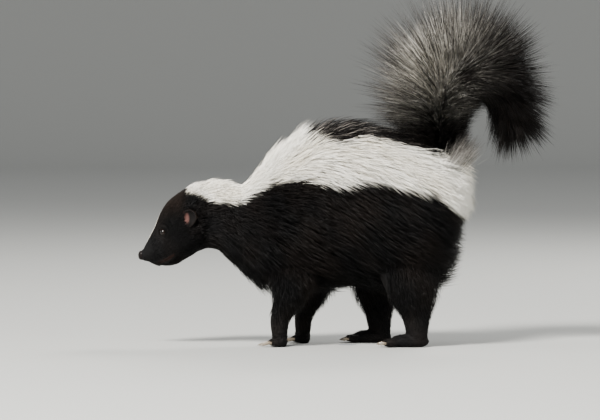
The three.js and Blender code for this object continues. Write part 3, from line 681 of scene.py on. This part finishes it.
# Eyes. Small dark brown glass balls with a clear bulge in front, set in their sockets between the lids.
CORNEA_RAISE = 0.5 * MM
CORNEA_REACH = 0.62  # share of the ball's radius that the bulge covers
IRIS = np.array([0.009, 0.005, 0.0035])
PUPIL = np.array([0.002, 0.0015, 0.0015])
PUPIL_EDGE = (0.42, 0.34)  # angles from the way it looks: where the pupil begins and where it is full
IRIS_EDGE = (0.78, 0.9)  # and where the iris begins to darken and is darkest


def eyeball(side):
    """A ball whose radius grows by a low bell about the way it looks, and each point's angle from there."""
    points, faces = ellipsoid(np.zeros(3), np.full(3, EYE_RADIUS), rings=48, around=64)
    aim_out = EYE_AIM * [1, side, 1]
    outwards = unit(points)
    off = np.arccos(np.clip(outwards @ aim_out, -1, 1))
    points = points + outwards * (CORNEA_RAISE * np.exp(-((off / CORNEA_REACH) ** 2)))[:, None]
    return points + EYE_CENTRE * [1, -side, 1], faces, off


eye_finish = principled(
    "wet eye", {"Roughness": 0.12, "Specular IOR Level": 0.3, "Coat Weight": 0.08, "Coat Roughness": 0.03},
)
surface(eye_finish, "Base Color", painted_colour(eye_finish))
for name, side in (("eye_left", -1), ("eye_right", 1)):
    points, faces, off = eyeball(side)
    eye = add_mesh(name + "_ball", points + OFFSET, faces)
    pupil = smooth_step(off, *PUPIL_EDGE)[:, None]
    rim = smooth_step(off, *IRIS_EDGE)[:, None]
    paint(eye, IRIS * (1 - 0.7 * rim) + (PUPIL - IRIS) * pupil * (1 - rim))
    eye.data.materials.append(eye_finish)
    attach(eye, "root")
    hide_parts(name)

# Nose. A bare moist pad at the end of the muzzle, with a cleft down its middle, comma-shaped nostrils and
# fine pebbles.
NOSE_CENTRE = np.array([-186.0, 0.0, 94.2]) * MM
NOSE_RADII = np.array([4.9, 5.7, 5.0]) * MM
NOSE_SQUARE = 2.6  # 2 is a ball, and more is a block with round edges
NOSTRIL = np.array([-190.7, 3.1, 93.6]) * MM
NOSTRIL_REACH = np.array([3.2, 1.35, 1.5]) * MM
NOSTRIL_DEPTH = 2.6 * MM
WING_FROM_NOSTRIL = np.array([1.4, 2.2, 1.6]) * MM
WING_REACH = 2.2 * MM
WING_RAISE = 0.5 * MM
CLEFT_HALF = 0.55 * MM
CLEFT_DEPTH = 0.7 * MM
PEBBLE = 0.07 * MM

points, faces = ellipsoid(np.zeros(3), np.ones(3), rings=110, around=130)
points = points / np.sum(np.abs(points) ** NOSE_SQUARE, 1, keepdims=True) ** (1 / NOSE_SQUARE) * NOSE_RADII
outwards = unit(points / NOSE_RADII**2)
place = points + NOSE_CENTRE
from_nostril = on_one_side(place) - NOSTRIL
hole = np.exp(-np.sum((from_nostril / NOSTRIL_REACH) ** 2, 1) ** 1.5)
cleft = np.exp(-((place[:, 1] / CLEFT_HALF) ** 2)) * smooth_step(place[:, 2], 95 * MM, 92.5 * MM)
wing = np.exp(-np.sum(((from_nostril - WING_FROM_NOSTRIL) / WING_REACH) ** 2, 1))
pebbles = np.maximum(ripple(place, 11, 1.5 * MM), -0.5) * (1 - hole)
raised = WING_RAISE * wing + PEBBLE * pebbles - NOSTRIL_DEPTH * hole - CLEFT_DEPTH * cleft
place += outwards * raised[:, None]
nose = add_mesh("nose_pad", place + OFFSET, faces)
nose_finish = principled(
    "moist nose", {"Roughness": 0.55, "Specular IOR Level": 0.08, "Coat Weight": 0.04, "Coat Roughness": 0.1},
)
cells = texture(nose_finish, "ShaderNodeTexVoronoi", 1400).outputs["Distance"]
two_colours(nose_finish, cells, (0.008, 0.0055, 0.005, 1), (0.004, 0.003, 0.003, 1))
relief(nose_finish, cells, 0.4, 0.2 * MM)
nose.data.materials.append(nose_finish)
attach(nose, "root")
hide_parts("nose")

# Claws. Curved horn, long on the front feet for digging and shorter behind, five on each foot.
CLAW_RADIUS = 1.4 * MM
CLAW_DROP = 0.26  # how far the tip bends down, as a share of the length
CLAW_FROM_TOE = 5.6 * MM  # from the middle of the toe to the claw's root
CLAW_CLEAR = 0.15 * MM  # how far above the floor a claw stops


def claw_form(toe, fan, length):
    """A horn along its heading: the middle drops as the square of the way, the radius shrinks as a root."""
    u = np.linspace(-0.25, 1, 12)
    turn = full_turn(10)
    heading = np.array([-math.cos(fan), math.sin(fan), 0.0])
    side = np.array([-heading[1], heading[0], 0.0])
    middle = toe + heading * CLAW_FROM_TOE + heading * (u * length)[:, None]
    middle[:, 2] -= CLAW_DROP * length * np.maximum(u, 0) ** 2
    radius = CLAW_RADIUS * np.sqrt(np.clip(1 - u, 0.004, 1))
    ring = side * (0.8 * np.cos(turn))[:, None] + np.array([0, 0, 1.2]) * np.sin(turn)[:, None]
    points, faces = closed_tube(middle[:, None] + ring[None] * radius[:, None, None])
    points[:, 2] = np.maximum(points[:, 2], CLAW_CLEAR)
    return points, faces


points, faces = join_forms([
    claw_form(toe, fan, (leg["claw"] - TOE_FORWARD) * MM)
    for leg in LEGS.values() for toe, fan in toe_places(leg)
])
claw_set = add_mesh("claws", points + OFFSET, faces)
horn = principled("claw horn", {"Roughness": 0.35, "Coat Weight": 0.2})
streaks = texture(horn, "ShaderNodeTexNoise", 700).outputs["Fac"]
two_colours(horn, streaks, (0.06, 0.045, 0.03, 1), (0.26, 0.21, 0.15, 1))
claw_set.data.materials.append(horn)
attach(claw_set, "root")

# Coat. Hair stands in thin tufts rooted in the skin: each is a three-sided blade that rises, bends over to
# the lie of the coat and tapers to its tip. It is short on the face and feet and long on the back.
UP = np.array([0, 0, 1.0])
ROOT_PATCH = 0.003  # how much of the unwrap a tuft's patch covers
ROOT_SINK = 0.6 * MM
FLOOR_GAP = 0.2 * MM  # hair by the soles stops this far above the floor
BLADE_SPIN = 0.6  # radians a blade may be turned either way about its own length
COLOUR_HALF = 0.12  # half the share of its length over which it changes colour
SHORT_STOPS = (0, 0.5)  # shares of a tuft's length where it may bend and change colour
LONG_STOPS = (0, 0.34, 0.67)
PLUME_STOPS = (0, 0.4, 0.68)


def surface_sample(points, faces, weight, count, draw):
    """Drawn places on quads, as many on each as its area times its weight asks: the place, the normal, the
    direction from its first edge to its last, and the quad."""
    a, b, c, d = (points[faces[:, k]] for k in range(4))
    normal = np.cross(c - a, d - b)
    area = np.linalg.norm(normal, axis=1) / 2
    share = np.cumsum(area * weight)
    which = np.searchsorted(share, (np.arange(count) + draw.uniform(size=count)) / count * share[-1])
    which = np.minimum(which, len(faces) - 1)
    u, v = draw.uniform(size=(2, count, 1))
    place = (a[which] * (1 - u) + b[which] * u) * (1 - v) + (d[which] * (1 - u) + c[which] * u) * v
    return place, unit(normal[which]), unit((d - a)[which]), which


def tufts(name, root, out, lie, length, width, rise, droop, colour, tip_colour, turn_over, uv, stops, draw):
    """Tapered blades as one mesh. At share u of its length a blade's middle is at
    root + length (lie u + out rise (u - 0.55 u^2) - down droop u^2), its width shrinks as (1 - u)^0.75, and
    its colour passes from root to tip about the share turn_over. stops are the shares that carry a ring."""
    count = len(root)
    length, width, rise, droop, turn_over = (
        np.broadcast_to(v, count)[:, None] for v in (length, width, rise, droop, turn_over)
    )
    u = np.array(stops)
    rings = len(stops)
    side = unit(np.cross(lie, out))
    spin = draw.uniform(-BLADE_SPIN, BLADE_SPIN, (count, 1))
    side, up = side * np.cos(spin) + out * np.sin(spin), out * np.cos(spin) - side * np.sin(spin)
    lift = rise * (u - 0.55 * u**2) * length
    sag = droop * u**2 * length
    middle = (
        root[:, None] - out[:, None] * ROOT_SINK + lie[:, None] * (u * length)[..., None]
        + out[:, None] * lift[..., None] - UP * sag[..., None]
    )
    thick = width * (1 - u) ** 0.75 * 0.5
    corner = [(-1.0, 0.0), (1.0, 0.0), (0.0, 0.75)]
    ring = np.stack([
        middle + (side[:, None] * a + up[:, None] * b) * thick[..., None] for a, b in corner
    ], 2)
    end = root - out * ROOT_SINK + lie * length + out * (rise * 0.45 * length) - UP * droop * length
    points = np.concatenate([ring.reshape(count, -1, 3), end[:, None]], 1)
    points[..., 2] = np.maximum(points[..., 2], FLOOR_GAP)
    per = 3 * rings + 1
    walls = []
    for r in range(rings - 1):
        for k in range(3):
            p, q = 3 * r + k, 3 * r + (k + 1) % 3
            walls += [(p, q, q + 3), (p, q + 3, p + 3)]
    last = 3 * (rings - 1)
    walls += [(last + k, last + (k + 1) % 3, per - 1) for k in range(3)]
    walls.append((2, 1, 0))
    faces = (np.array(walls)[None] + np.arange(count)[:, None, None] * per).reshape(-1, 3)
    along = np.append(np.repeat(u, 3), 1.0)
    across = np.append(np.tile([0.0, 1.0, 0.5], rings), 0.5)
    patch = np.stack([along, across], 1) * ROOT_PATCH
    patch_uv = (uv[:, None] + patch[None]).reshape(-1, 2)
    blend = smooth_step(along[None], turn_over - COLOUR_HALF, turn_over + COLOUR_HALF)[..., None]
    shades = colour[:, None] + (tip_colour - colour)[:, None] * blend
    made = add_mesh(name, points.reshape(-1, 3) + OFFSET, faces, np.clip(patch_uv, 0, 1))
    paint(made, shades.reshape(-1, 3))
    return made


def square_to(axis, vectors):
    """What is left of each vector without its part along its axis, at unit length."""
    return unit(vectors - axis * np.sum(vectors * axis, 1, keepdims=True))


def turned_uv(along, angle):
    """Places on the unwrap: a share along the form, and the angle's share of a whole turn round it."""
    return np.stack([along, angle / (2 * math.pi)], 1)


def level_uv(place):
    """Places on the unwrap: height and width within the box of the places."""
    low, high = place.min(0), place.max(0)
    return ((place - low) / (high - low))[:, [2, 1]]


def hair_material(name, roughness, grain):
    """Glossy hair that takes its colour from the tuft, a little lighter and darker from strand to strand."""
    material = principled(name, {"Roughness": roughness, "Specular IOR Level": 0.11})
    nodes, links = material.node_tree.nodes, material.node_tree.links
    level = nodes.new("ShaderNodeMapRange")
    level.inputs["To Min"].default_value = 0.72
    level.inputs["To Max"].default_value = 1.28
    mix = nodes.new("ShaderNodeVectorMath")
    mix.operation = "SCALE"
    links.new(texture(material, "ShaderNodeTexNoise", grain).outputs["Fac"], level.inputs["Value"])
    links.new(painted_colour(material), mix.inputs[0])
    links.new(level.outputs["Result"], mix.inputs["Scale"])
    surface(material, "Base Color", mix.outputs["Vector"])
    return material


black_hair = hair_material("black guard hair", 0.45, 620)
white_hair = hair_material("white guard hair", 0.5, 520)
plume_hair = hair_material("plume hair", 0.46, 480)


def coat_piece(name, slot, material, *args):
    """A finished piece of the coat, with its material, on the body."""
    made = tufts(name, *args)
    made.data.materials.append(material)
    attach(made, "root")


# Coat of the head, neck and trunk. Its tufts grow out of the skin and lie back and down the sides, short on
# the face and long on the back and rump.
HEAD_TUFTS = 21500
NAPE_BLEND = 1.1  # stations over which the head's hair thins out into the neck's
NAPE_THINNING = 0.72  # share by which the head's tufts grow sparser from the face to the nape
FACE_LENGTH = np.array([2.0, 4.0, 6.0, 8.0, 11.5, 14.0]) * MM  # at even steps from nose to nape
LENGTH_OF_DEPTH = 2.7  # length of a tuft against the depth of coat it has to fill
STAND = 0.82  # rise that brings its tip to the top of that depth
FACE_STAND = 0.42
SIDE_FALL = 0.62  # how much the hair turns downwards on the sides, and on the rump
RUMP_FALL = 2.2
RUMP_SHORTER = 0.5
SWAY = 0.22  # how much the lie wanders from place to place
SWAY_SIZE = 30 * MM
STRAY = 0.09  # and from one tuft to the next
SHEEN_SPECKLED = 0.16  # share of the black tufts along the top of the back that are painted grey, as a painted sheen

draw = np.random.default_rng(41)
tube_points = body_rings.reshape(-1, 3)
tube_faces = grid_faces(len(ring_t), RING_POINTS)
face_t = np.repeat(ring_t[:-1], RING_POINTS)
face_angle = np.tile(ring_angle, len(ring_t) - 1)


def inside_legs(points):
    """Whether a point of the body lies within the upper part of a leg."""
    hidden = np.zeros(len(points), bool)
    for leg in LEGS.values():
        centre, sizes = leg_ovals(leg, 40)
        nearest = np.argmin(np.abs(points[:, 2:] - centre[None, :, 2]), 1)
        off = (points - centre[nearest])[:, :2] / (sizes[nearest] - 2 * MM)
        hidden |= (np.linalg.norm(off, axis=1) < 1) & (points[:, 2] < centre[0, 2])
    return hidden


def body_roots(t_from, t_to, count, thinning=0.0):
    """Roots between two stations, sparser by the thinning from the face to the nape, with the lie of the
    hair, its station, angle and length, and the depth of coat it fills. All of the trunk's pieces share one
    set of draws, so they are made in this order."""
    weight = (face_t >= t_from) & (face_t < t_to)
    weight = weight * (1 - thinning * smooth_step(face_t, 3.5, HEAD_END))
    place, out, back, which = surface_sample(tube_points, tube_faces, weight, count, draw)
    t, angle = face_t[which], face_angle[which]
    keep = ~inside_legs(place)
    place, out, back, t, angle = place[keep], out[keep], back[keep], t[keep], angle[keep]
    fall = out * out[:, 2:] - UP
    low_rump = smooth_step(t, 14.0, 16.5) * smooth_step(place[:, 2], 205 * MM, 170 * MM)
    side_fall = SIDE_FALL * np.abs(np.sin(angle)) * smooth_step(t, 4.0, 9.0)
    lie = back + fall * np.maximum(side_fall, low_rump * RUMP_FALL)[:, None]
    sway = np.stack([ripple(place, 21 + k, SWAY_SIZE) for k in range(3)], 1) * SWAY
    lie = square_to(out, lie + sway + draw.normal(0, STRAY, lie.shape))
    depth = through(STATIONS[:, 5:], t)[:, 0] * skin_share(t)
    on_face = np.interp(t, np.linspace(0, HEAD_END, len(FACE_LENGTH)), FACE_LENGTH)
    long = depth * LENGTH_OF_DEPTH * (1 - RUMP_SHORTER * smooth_step(t, 13.6, 16.2))
    length = np.maximum(on_face * (t < HEAD_END), long)
    length = length * draw.uniform(0.75, 1.15, len(length))
    return place, out, lie, t, angle, length, depth


def eye_clear(place):
    """How freely hair may grow near the eyes, lips, nose and ears: 0 on them, 1 away from them."""
    mirrored = on_one_side(place)
    eye = np.linalg.norm(mirrored - EYE_CENTRE * [1, -1, 1], axis=1)
    nose_gap = np.linalg.norm(place - NOSE_CENTRE, axis=1)
    lip = np.abs(place[:, 2] - mouth_height(place[:, 0])) + (place[:, 0] > -154 * MM)
    ear = np.linalg.norm(mirrored - EAR_CENTRE, axis=1)
    return np.minimum.reduce([
        smooth_step(eye, 4.6 * MM, 7.5 * MM), smooth_step(nose_gap, 5.2 * MM, 7 * MM),
        smooth_step(lip, 1.3 * MM, 2.8 * MM), smooth_step(ear, 7 * MM, 10 * MM),
    ])


place, out, lie, t, angle, length, _ = body_roots(0.0, HEAD_END + NAPE_BLEND, HEAD_TUFTS, NAPE_THINNING)
clear = eye_clear(place)
fading = smooth_step(t, HEAD_END - 0.2, HEAD_END + NAPE_BLEND)
keep = (clear > 0.03) & (draw.uniform(size=len(place)) > fading)
place, out, lie, t, angle, length, clear = (v[keep] for v in (place, out, lie, t, angle, length, clear))
length = length * (0.35 + 0.65 * clear)
shades = coat_colour(place + lie * (length * 0.4)[:, None])
width = 0.5 * MM + 0.35 * MM * smooth_step(t, 3, 6)
rise = FACE_STAND + (STAND - FACE_STAND) * smooth_step(t, 3.5, HEAD_END)
coat_piece(
    "coat_head", "black_fur", black_hair, place, out, lie, length, width, rise, 0.0, shades, shades, 0.5,
    turned_uv(t / LAST, angle), SHORT_STOPS, draw,
)

BODY_PIECES = [
    # name, slot, material, first and last station, tufts
    ("coat_neck", "white_fur", white_hair, HEAD_END, 9.4, 8500),
    ("coat_shoulders", "black_fur", black_hair, 9.4, 11.4, 9000),
    ("coat_back", "black_fur", black_hair, 11.4, 13.0, 9000),
    ("coat_loins", "black_fur", black_hair, 13.0, 14.6, 9000),
    ("coat_rump", "white_fur", white_hair, 14.6, LAST, 9500),
]
for name, slot, material, t_from, t_to, count in BODY_PIECES:
    place, out, lie, t, angle, length, depth = body_roots(t_from, t_to, count)
    middle = place + lie * (length * 0.6)[:, None] + out * (depth * 0.85)[:, None]
    middle = middle + draw.normal(0, 1.2 * MM, middle.shape)
    white = whiteness(middle)
    shades = coat_colour(middle)
    # Painted sheen: grey tufts along the top of the back stand in for the light that catches the black hair
    # there.
    sheen_speckle = (draw.uniform(size=len(place)) < SHEEN_SPECKLED) & (white < 0.5) & (middle[:, 2] > 208 * MM)
    shades[sheen_speckle] = GREY * draw.uniform(0.4, 1.6, (int(sheen_speckle.sum()), 1))
    rise = STAND + 0.08 * white + draw.normal(0, 0.12, len(place))
    coat_piece(
        name, slot, material, place, out, lie, length * (1 + 0.1 * white), 1 * MM, rise, 0.03,
        shades, shades * (1 + 0.1 * white)[:, None], 0.5, turned_uv(t / LAST, angle), LONG_STOPS, draw,
    )

# Ruff behind the tail. White and grey hair, rooted in the top of the rump, that stands up against the back
# of the tail.
RUFF_TUFTS = 1300
RUFF_STATIONS = (14.9, 16.2)
RUFF_HALF_TURN = 0.8  # radians from the top of the back to either side
RUFF_LIE = np.array([0.5, 0.0, 0.87])
RUFF_SPREAD = np.array([0.0, 0.45, 0.0])
RUFF_LENGTH = 50 * MM
TINY = np.array([1e-4, 0, 0])  # so that hair which leans straight out of the skin still has a side

weight = (face_t > RUFF_STATIONS[0]) & (face_t < RUFF_STATIONS[1])
weight &= np.cos(face_angle) > math.cos(RUFF_HALF_TURN)
place, out, _, which = surface_sample(tube_points, tube_faces, weight, RUFF_TUFTS, draw)
lie = unit(RUFF_LIE + out * RUFF_SPREAD + draw.normal(0, 0.13, place.shape))
out = unit(out - lie * np.sum(lie * out, 1, keepdims=True) + TINY)
light = WHITE + (GREY * 0.4 - WHITE) * draw.uniform(0, 1, (RUFF_TUFTS, 1)) ** 0.6
tip_shades = GREY * draw.uniform(0.05, 1.2, (RUFF_TUFTS, 1))
length = RUFF_LENGTH * draw.uniform(0.55, 1.1, RUFF_TUFTS)
rise = draw.normal(0.1, 0.1, RUFF_TUFTS)
coat_piece(
    "coat_ruff", "white_fur", white_hair, place, out, lie, length, 0.8 * MM, rise, 0.05, light, tip_shades,
    draw.normal(0.62, 0.14, RUFF_TUFTS), turned_uv(face_t[which] / LAST, face_angle[which]), LONG_STOPS,
    draw,
)

# Coat of the legs, feet and ears. Short hair, rooted in the skin, that points down the leg, over the toes and
# out to the rim of the ear. The soles and the claws stay bare.
LEG_TUFTS = 2800
LEG_LIE = np.array([0.28, 0, -1.0])
TOE_LIE = np.array([-1.0, 0, 0.05])
draw = np.random.default_rng(43)
leg_sets = []
for name, (points, faces) in leg_forms.items():
    leg = LEGS[name]
    place, out, _, _ = surface_sample(points, faces, 1.0, LEG_TUFTS, draw)
    forward = smooth_step(place[:, 2], 20 * MM, 8 * MM)[:, None]
    lie = LEG_LIE * (1 - forward) + TOE_LIE * forward
    lie = square_to(out, lie + draw.normal(0, 0.12, place.shape))
    length = (4.6 + 19.0 * smooth_step(place[:, 2], 14 * MM, 85 * MM)) * MM
    off_sole = (place[:, 2] > 1.6 * MM) & (out[:, 2] > -0.75)
    behind_claws = place[:, 0] > (leg["toe"] + leg["claw"] + 1.5) * MM
    keep = off_sole & behind_claws
    leg_sets.append([v[keep] for v in (place, out, lie, length)])
place, out, lie, length = (np.concatenate(v) for v in zip(*leg_sets))
length = length * draw.uniform(0.7, 1.2, len(place))
length = np.minimum(length, np.maximum(place[:, 2] - 0.8 * MM, 2.2 * MM) / np.maximum(-lie[:, 2], 0.35))
shades = coat_colour(place) * 0.9
coat_piece(
    "coat_legs", "black_fur", black_hair, place, out, lie, length, 0.8 * MM, 0.5, 0.0, shades, shades, 0.5,
    level_uv(place), SHORT_STOPS, draw,
)

EAR_TUFTS = 900
EAR_HAIR = 2.8 * MM
ear_sets = []
for side in (1, -1):
    points, faces = ear_cup(side)
    place, out, _, _ = surface_sample(points, faces, 1.0, EAR_TUFTS, draw)
    aim_out = EAR_AIM * [1, side, 1]
    from_ear = place - EAR_CENTRE * [1, side, 1]
    across = unit(from_ear - (from_ear @ aim_out)[:, None] * aim_out)
    hollow = np.sum(out * across, 1) < 0
    lie = np.where(hollow[:, None], aim_out * 0.9 + across * 0.2, aim_out * 0.7 + np.array([0.5, 0, 0.2]))
    lie = square_to(out, lie + draw.normal(0, 0.15, place.shape))
    keep = ~hollow | (draw.uniform(size=len(place)) < 0.35)
    ear_sets.append([v[keep] for v in (place, out, lie, hollow)])
place, out, lie, hollow = (np.concatenate(v) for v in zip(*ear_sets))
shades = np.where(hollow[:, None], PINK * 0.45, BROWN_BLACK)
length = EAR_HAIR * draw.uniform(0.7, 1.3, len(place))
coat_piece(
    "coat_ears", "black_fur", black_hair, place, out, lie, length, 0.35 * MM, 0.25, 0.0, shades, shades, 0.5,
    level_uv(place), SHORT_STOPS, draw,
)

# Plume. The tail's long hair springs from all round its core and leans towards its tip. It is black at the
# foot of the tail and towards its end, and white with black ends between, brightest in the plume's heart.
TAIL_REACH = np.array([34, 54, 94, 107, 96, 72, 56, 54]) * MM
TAIL_TILT = np.radians([60, 74, 72, 62, 58, 52, 44, 32])
TAIL_INNER = np.array([0.5, 0.45, 0.42, 0.42, 0.42, 0.5, 0.75, 1.0])  # reach inside the curl, as a share
PLUME_PIECES = [
    # name, slot, first and last share of the tail's line, hairs
    ("plume_foot", "black_fur", 0.05, 0.26, 7500),
    ("plume_fan", "grizzled_fur", 0.26, 0.46, 8000),
    ("plume_crown", "grizzled_fur", 0.46, 0.68, 8000),
    ("plume_end", "black_fur", 0.68, 1.0, 6000),
]
TAIL_SIDE = 0.1  # how much further the hair spreads to the left and right
PLUME_HEART = np.array([104, 300]) * MM  # x and z where the plume is brightest
HEART_REACH = 46 * MM
CLUMP_OF = 25  # hairs that lean together into one pointed clump; each piece's count is a multiple of it
CLUMP_STRIPS = 10  # rows of clumps along each piece of the tail
CLUMP_PULL = 0.55  # how far a hair turns to the middle of its clump's tips
PLUME_WIDTH = 1.05 * MM
PLUME_DROOP = 0.08
HEART_SHARE = 0.54  # how much of its white the plume loses far from the heart

draw = np.random.default_rng(47)
for name, slot, s_from, s_to, count in PLUME_PIECES:
    s = draw.uniform(s_from, s_to, count)
    angle = draw.uniform(0, 2 * math.pi, count)
    beside = np.lexsort([angle, (s - s_from) * CLUMP_STRIPS // (s_to - s_from)])
    s, angle = s[beside], angle[beside]
    inner = 0.5 - 0.5 * np.cos(angle)
    middle, heading, _ = tail_frame(s)
    away = tail_away(s, angle)
    tilt = along_tail(TAIL_TILT, s) + draw.normal(0, 0.16, count)
    lie = heading * np.cos(tilt)[:, None] + away * np.sin(tilt)[:, None]
    out = away * np.cos(tilt)[:, None] - heading * np.sin(tilt)[:, None]
    root = middle + away * along_tail(TAIL_FLESH, s)[:, None] * 0.9
    clump = unit(lie) * 60 * MM + root
    sway = np.stack([ripple(clump, 51 + k, 26 * MM) for k in range(3)], 1) * 0.16
    lie = unit(lie + sway + draw.normal(0, 0.08, lie.shape))
    reach = along_tail(TAIL_REACH, s) * (1 + (along_tail(TAIL_INNER, s) - 1) * inner)
    reach = reach * (1 + TAIL_SIDE * np.sin(angle) ** 2)
    length = reach * draw.triangular(0.4, 1.0, 1.12, count)
    length *= np.repeat(draw.uniform(0.9, 1.08, count // CLUMP_OF), CLUMP_OF)
    tip = root + lie * reach[:, None]
    clump_tip = np.repeat(tip.reshape(-1, CLUMP_OF, 3).mean(1), CLUMP_OF, 0)
    lie = unit(tip + (clump_tip - tip) * CLUMP_PULL - root)
    out = square_to(lie, out)
    white = smooth_step(s + 0.02 * draw.normal(size=count), 0.14, 0.22)
    white *= smooth_step(s + 0.06 * draw.normal(size=count), 0.70, 0.48)
    white *= 1 - 0.7 * inner * smooth_step(s, 0.3, 0.45)
    white *= 1 - smooth_step(ripple(clump, 61, 34 * MM), 0.45, 0.7)
    light = WHITE + (CREAM - WHITE) * draw.uniform(0, 0.6, (count, 1))
    dark = BLACK + (BROWN_BLACK - BLACK) * draw.uniform(0, 0.4, (count, 1))
    at_heart = (root + lie * (length * 0.4)[:, None])[:, [0, 2]] - PLUME_HEART
    heart = np.exp(-np.sum((at_heart / HEART_REACH) ** 2, 1))
    white *= (1 - HEART_SHARE + HEART_SHARE * heart) * (draw.uniform(size=count) < 0.95)
    base = dark + (light - dark) * white[:, None]
    ends = dark + (GREY - dark) * (white * draw.uniform(0, 0.25, count))[:, None]
    coat_piece(
        name, slot, plume_hair, root, out, lie, length, PLUME_WIDTH, draw.normal(-0.1, 0.12, count),
        PLUME_DROOP, base, ends, draw.normal(0.53, 0.09, count) * reach / length,
        turned_uv(s, angle), PLUME_STOPS, draw,
    )

# Whiskers. A few thin black bristles on each side of the muzzle, rooted in its pads.
WHISKERS = 11
draw = np.random.default_rng(53)
side = np.repeat([-1.0, 1.0], WHISKERS)
count = len(side)
t = draw.uniform(0.7, 2.1, count)
angle = np.where(side < 0, 1, -1) * draw.uniform(1.65, 2.2, count)
root = body_at(t, angle, FACE_SHARE)
lie = unit(np.stack([
    draw.uniform(0.1, 0.9, count), side * 0.8, draw.uniform(-0.6, 0.1, count),
], 1))
out = unit(np.cross(lie, UP))
shades = np.repeat(BLACK[None] * 1.5, count, 0)
coat_piece(
    "whiskers", "black_fur", black_hair, root, out, lie, draw.uniform(12, 22, count) * MM, 0.32 * MM,
    draw.normal(0, 0.2, count), 0.1, shades, shades, 0.5, turned_uv(t / LAST, angle) % 1,
    (0, 0.2, 0.4, 0.6, 0.8), draw,
)
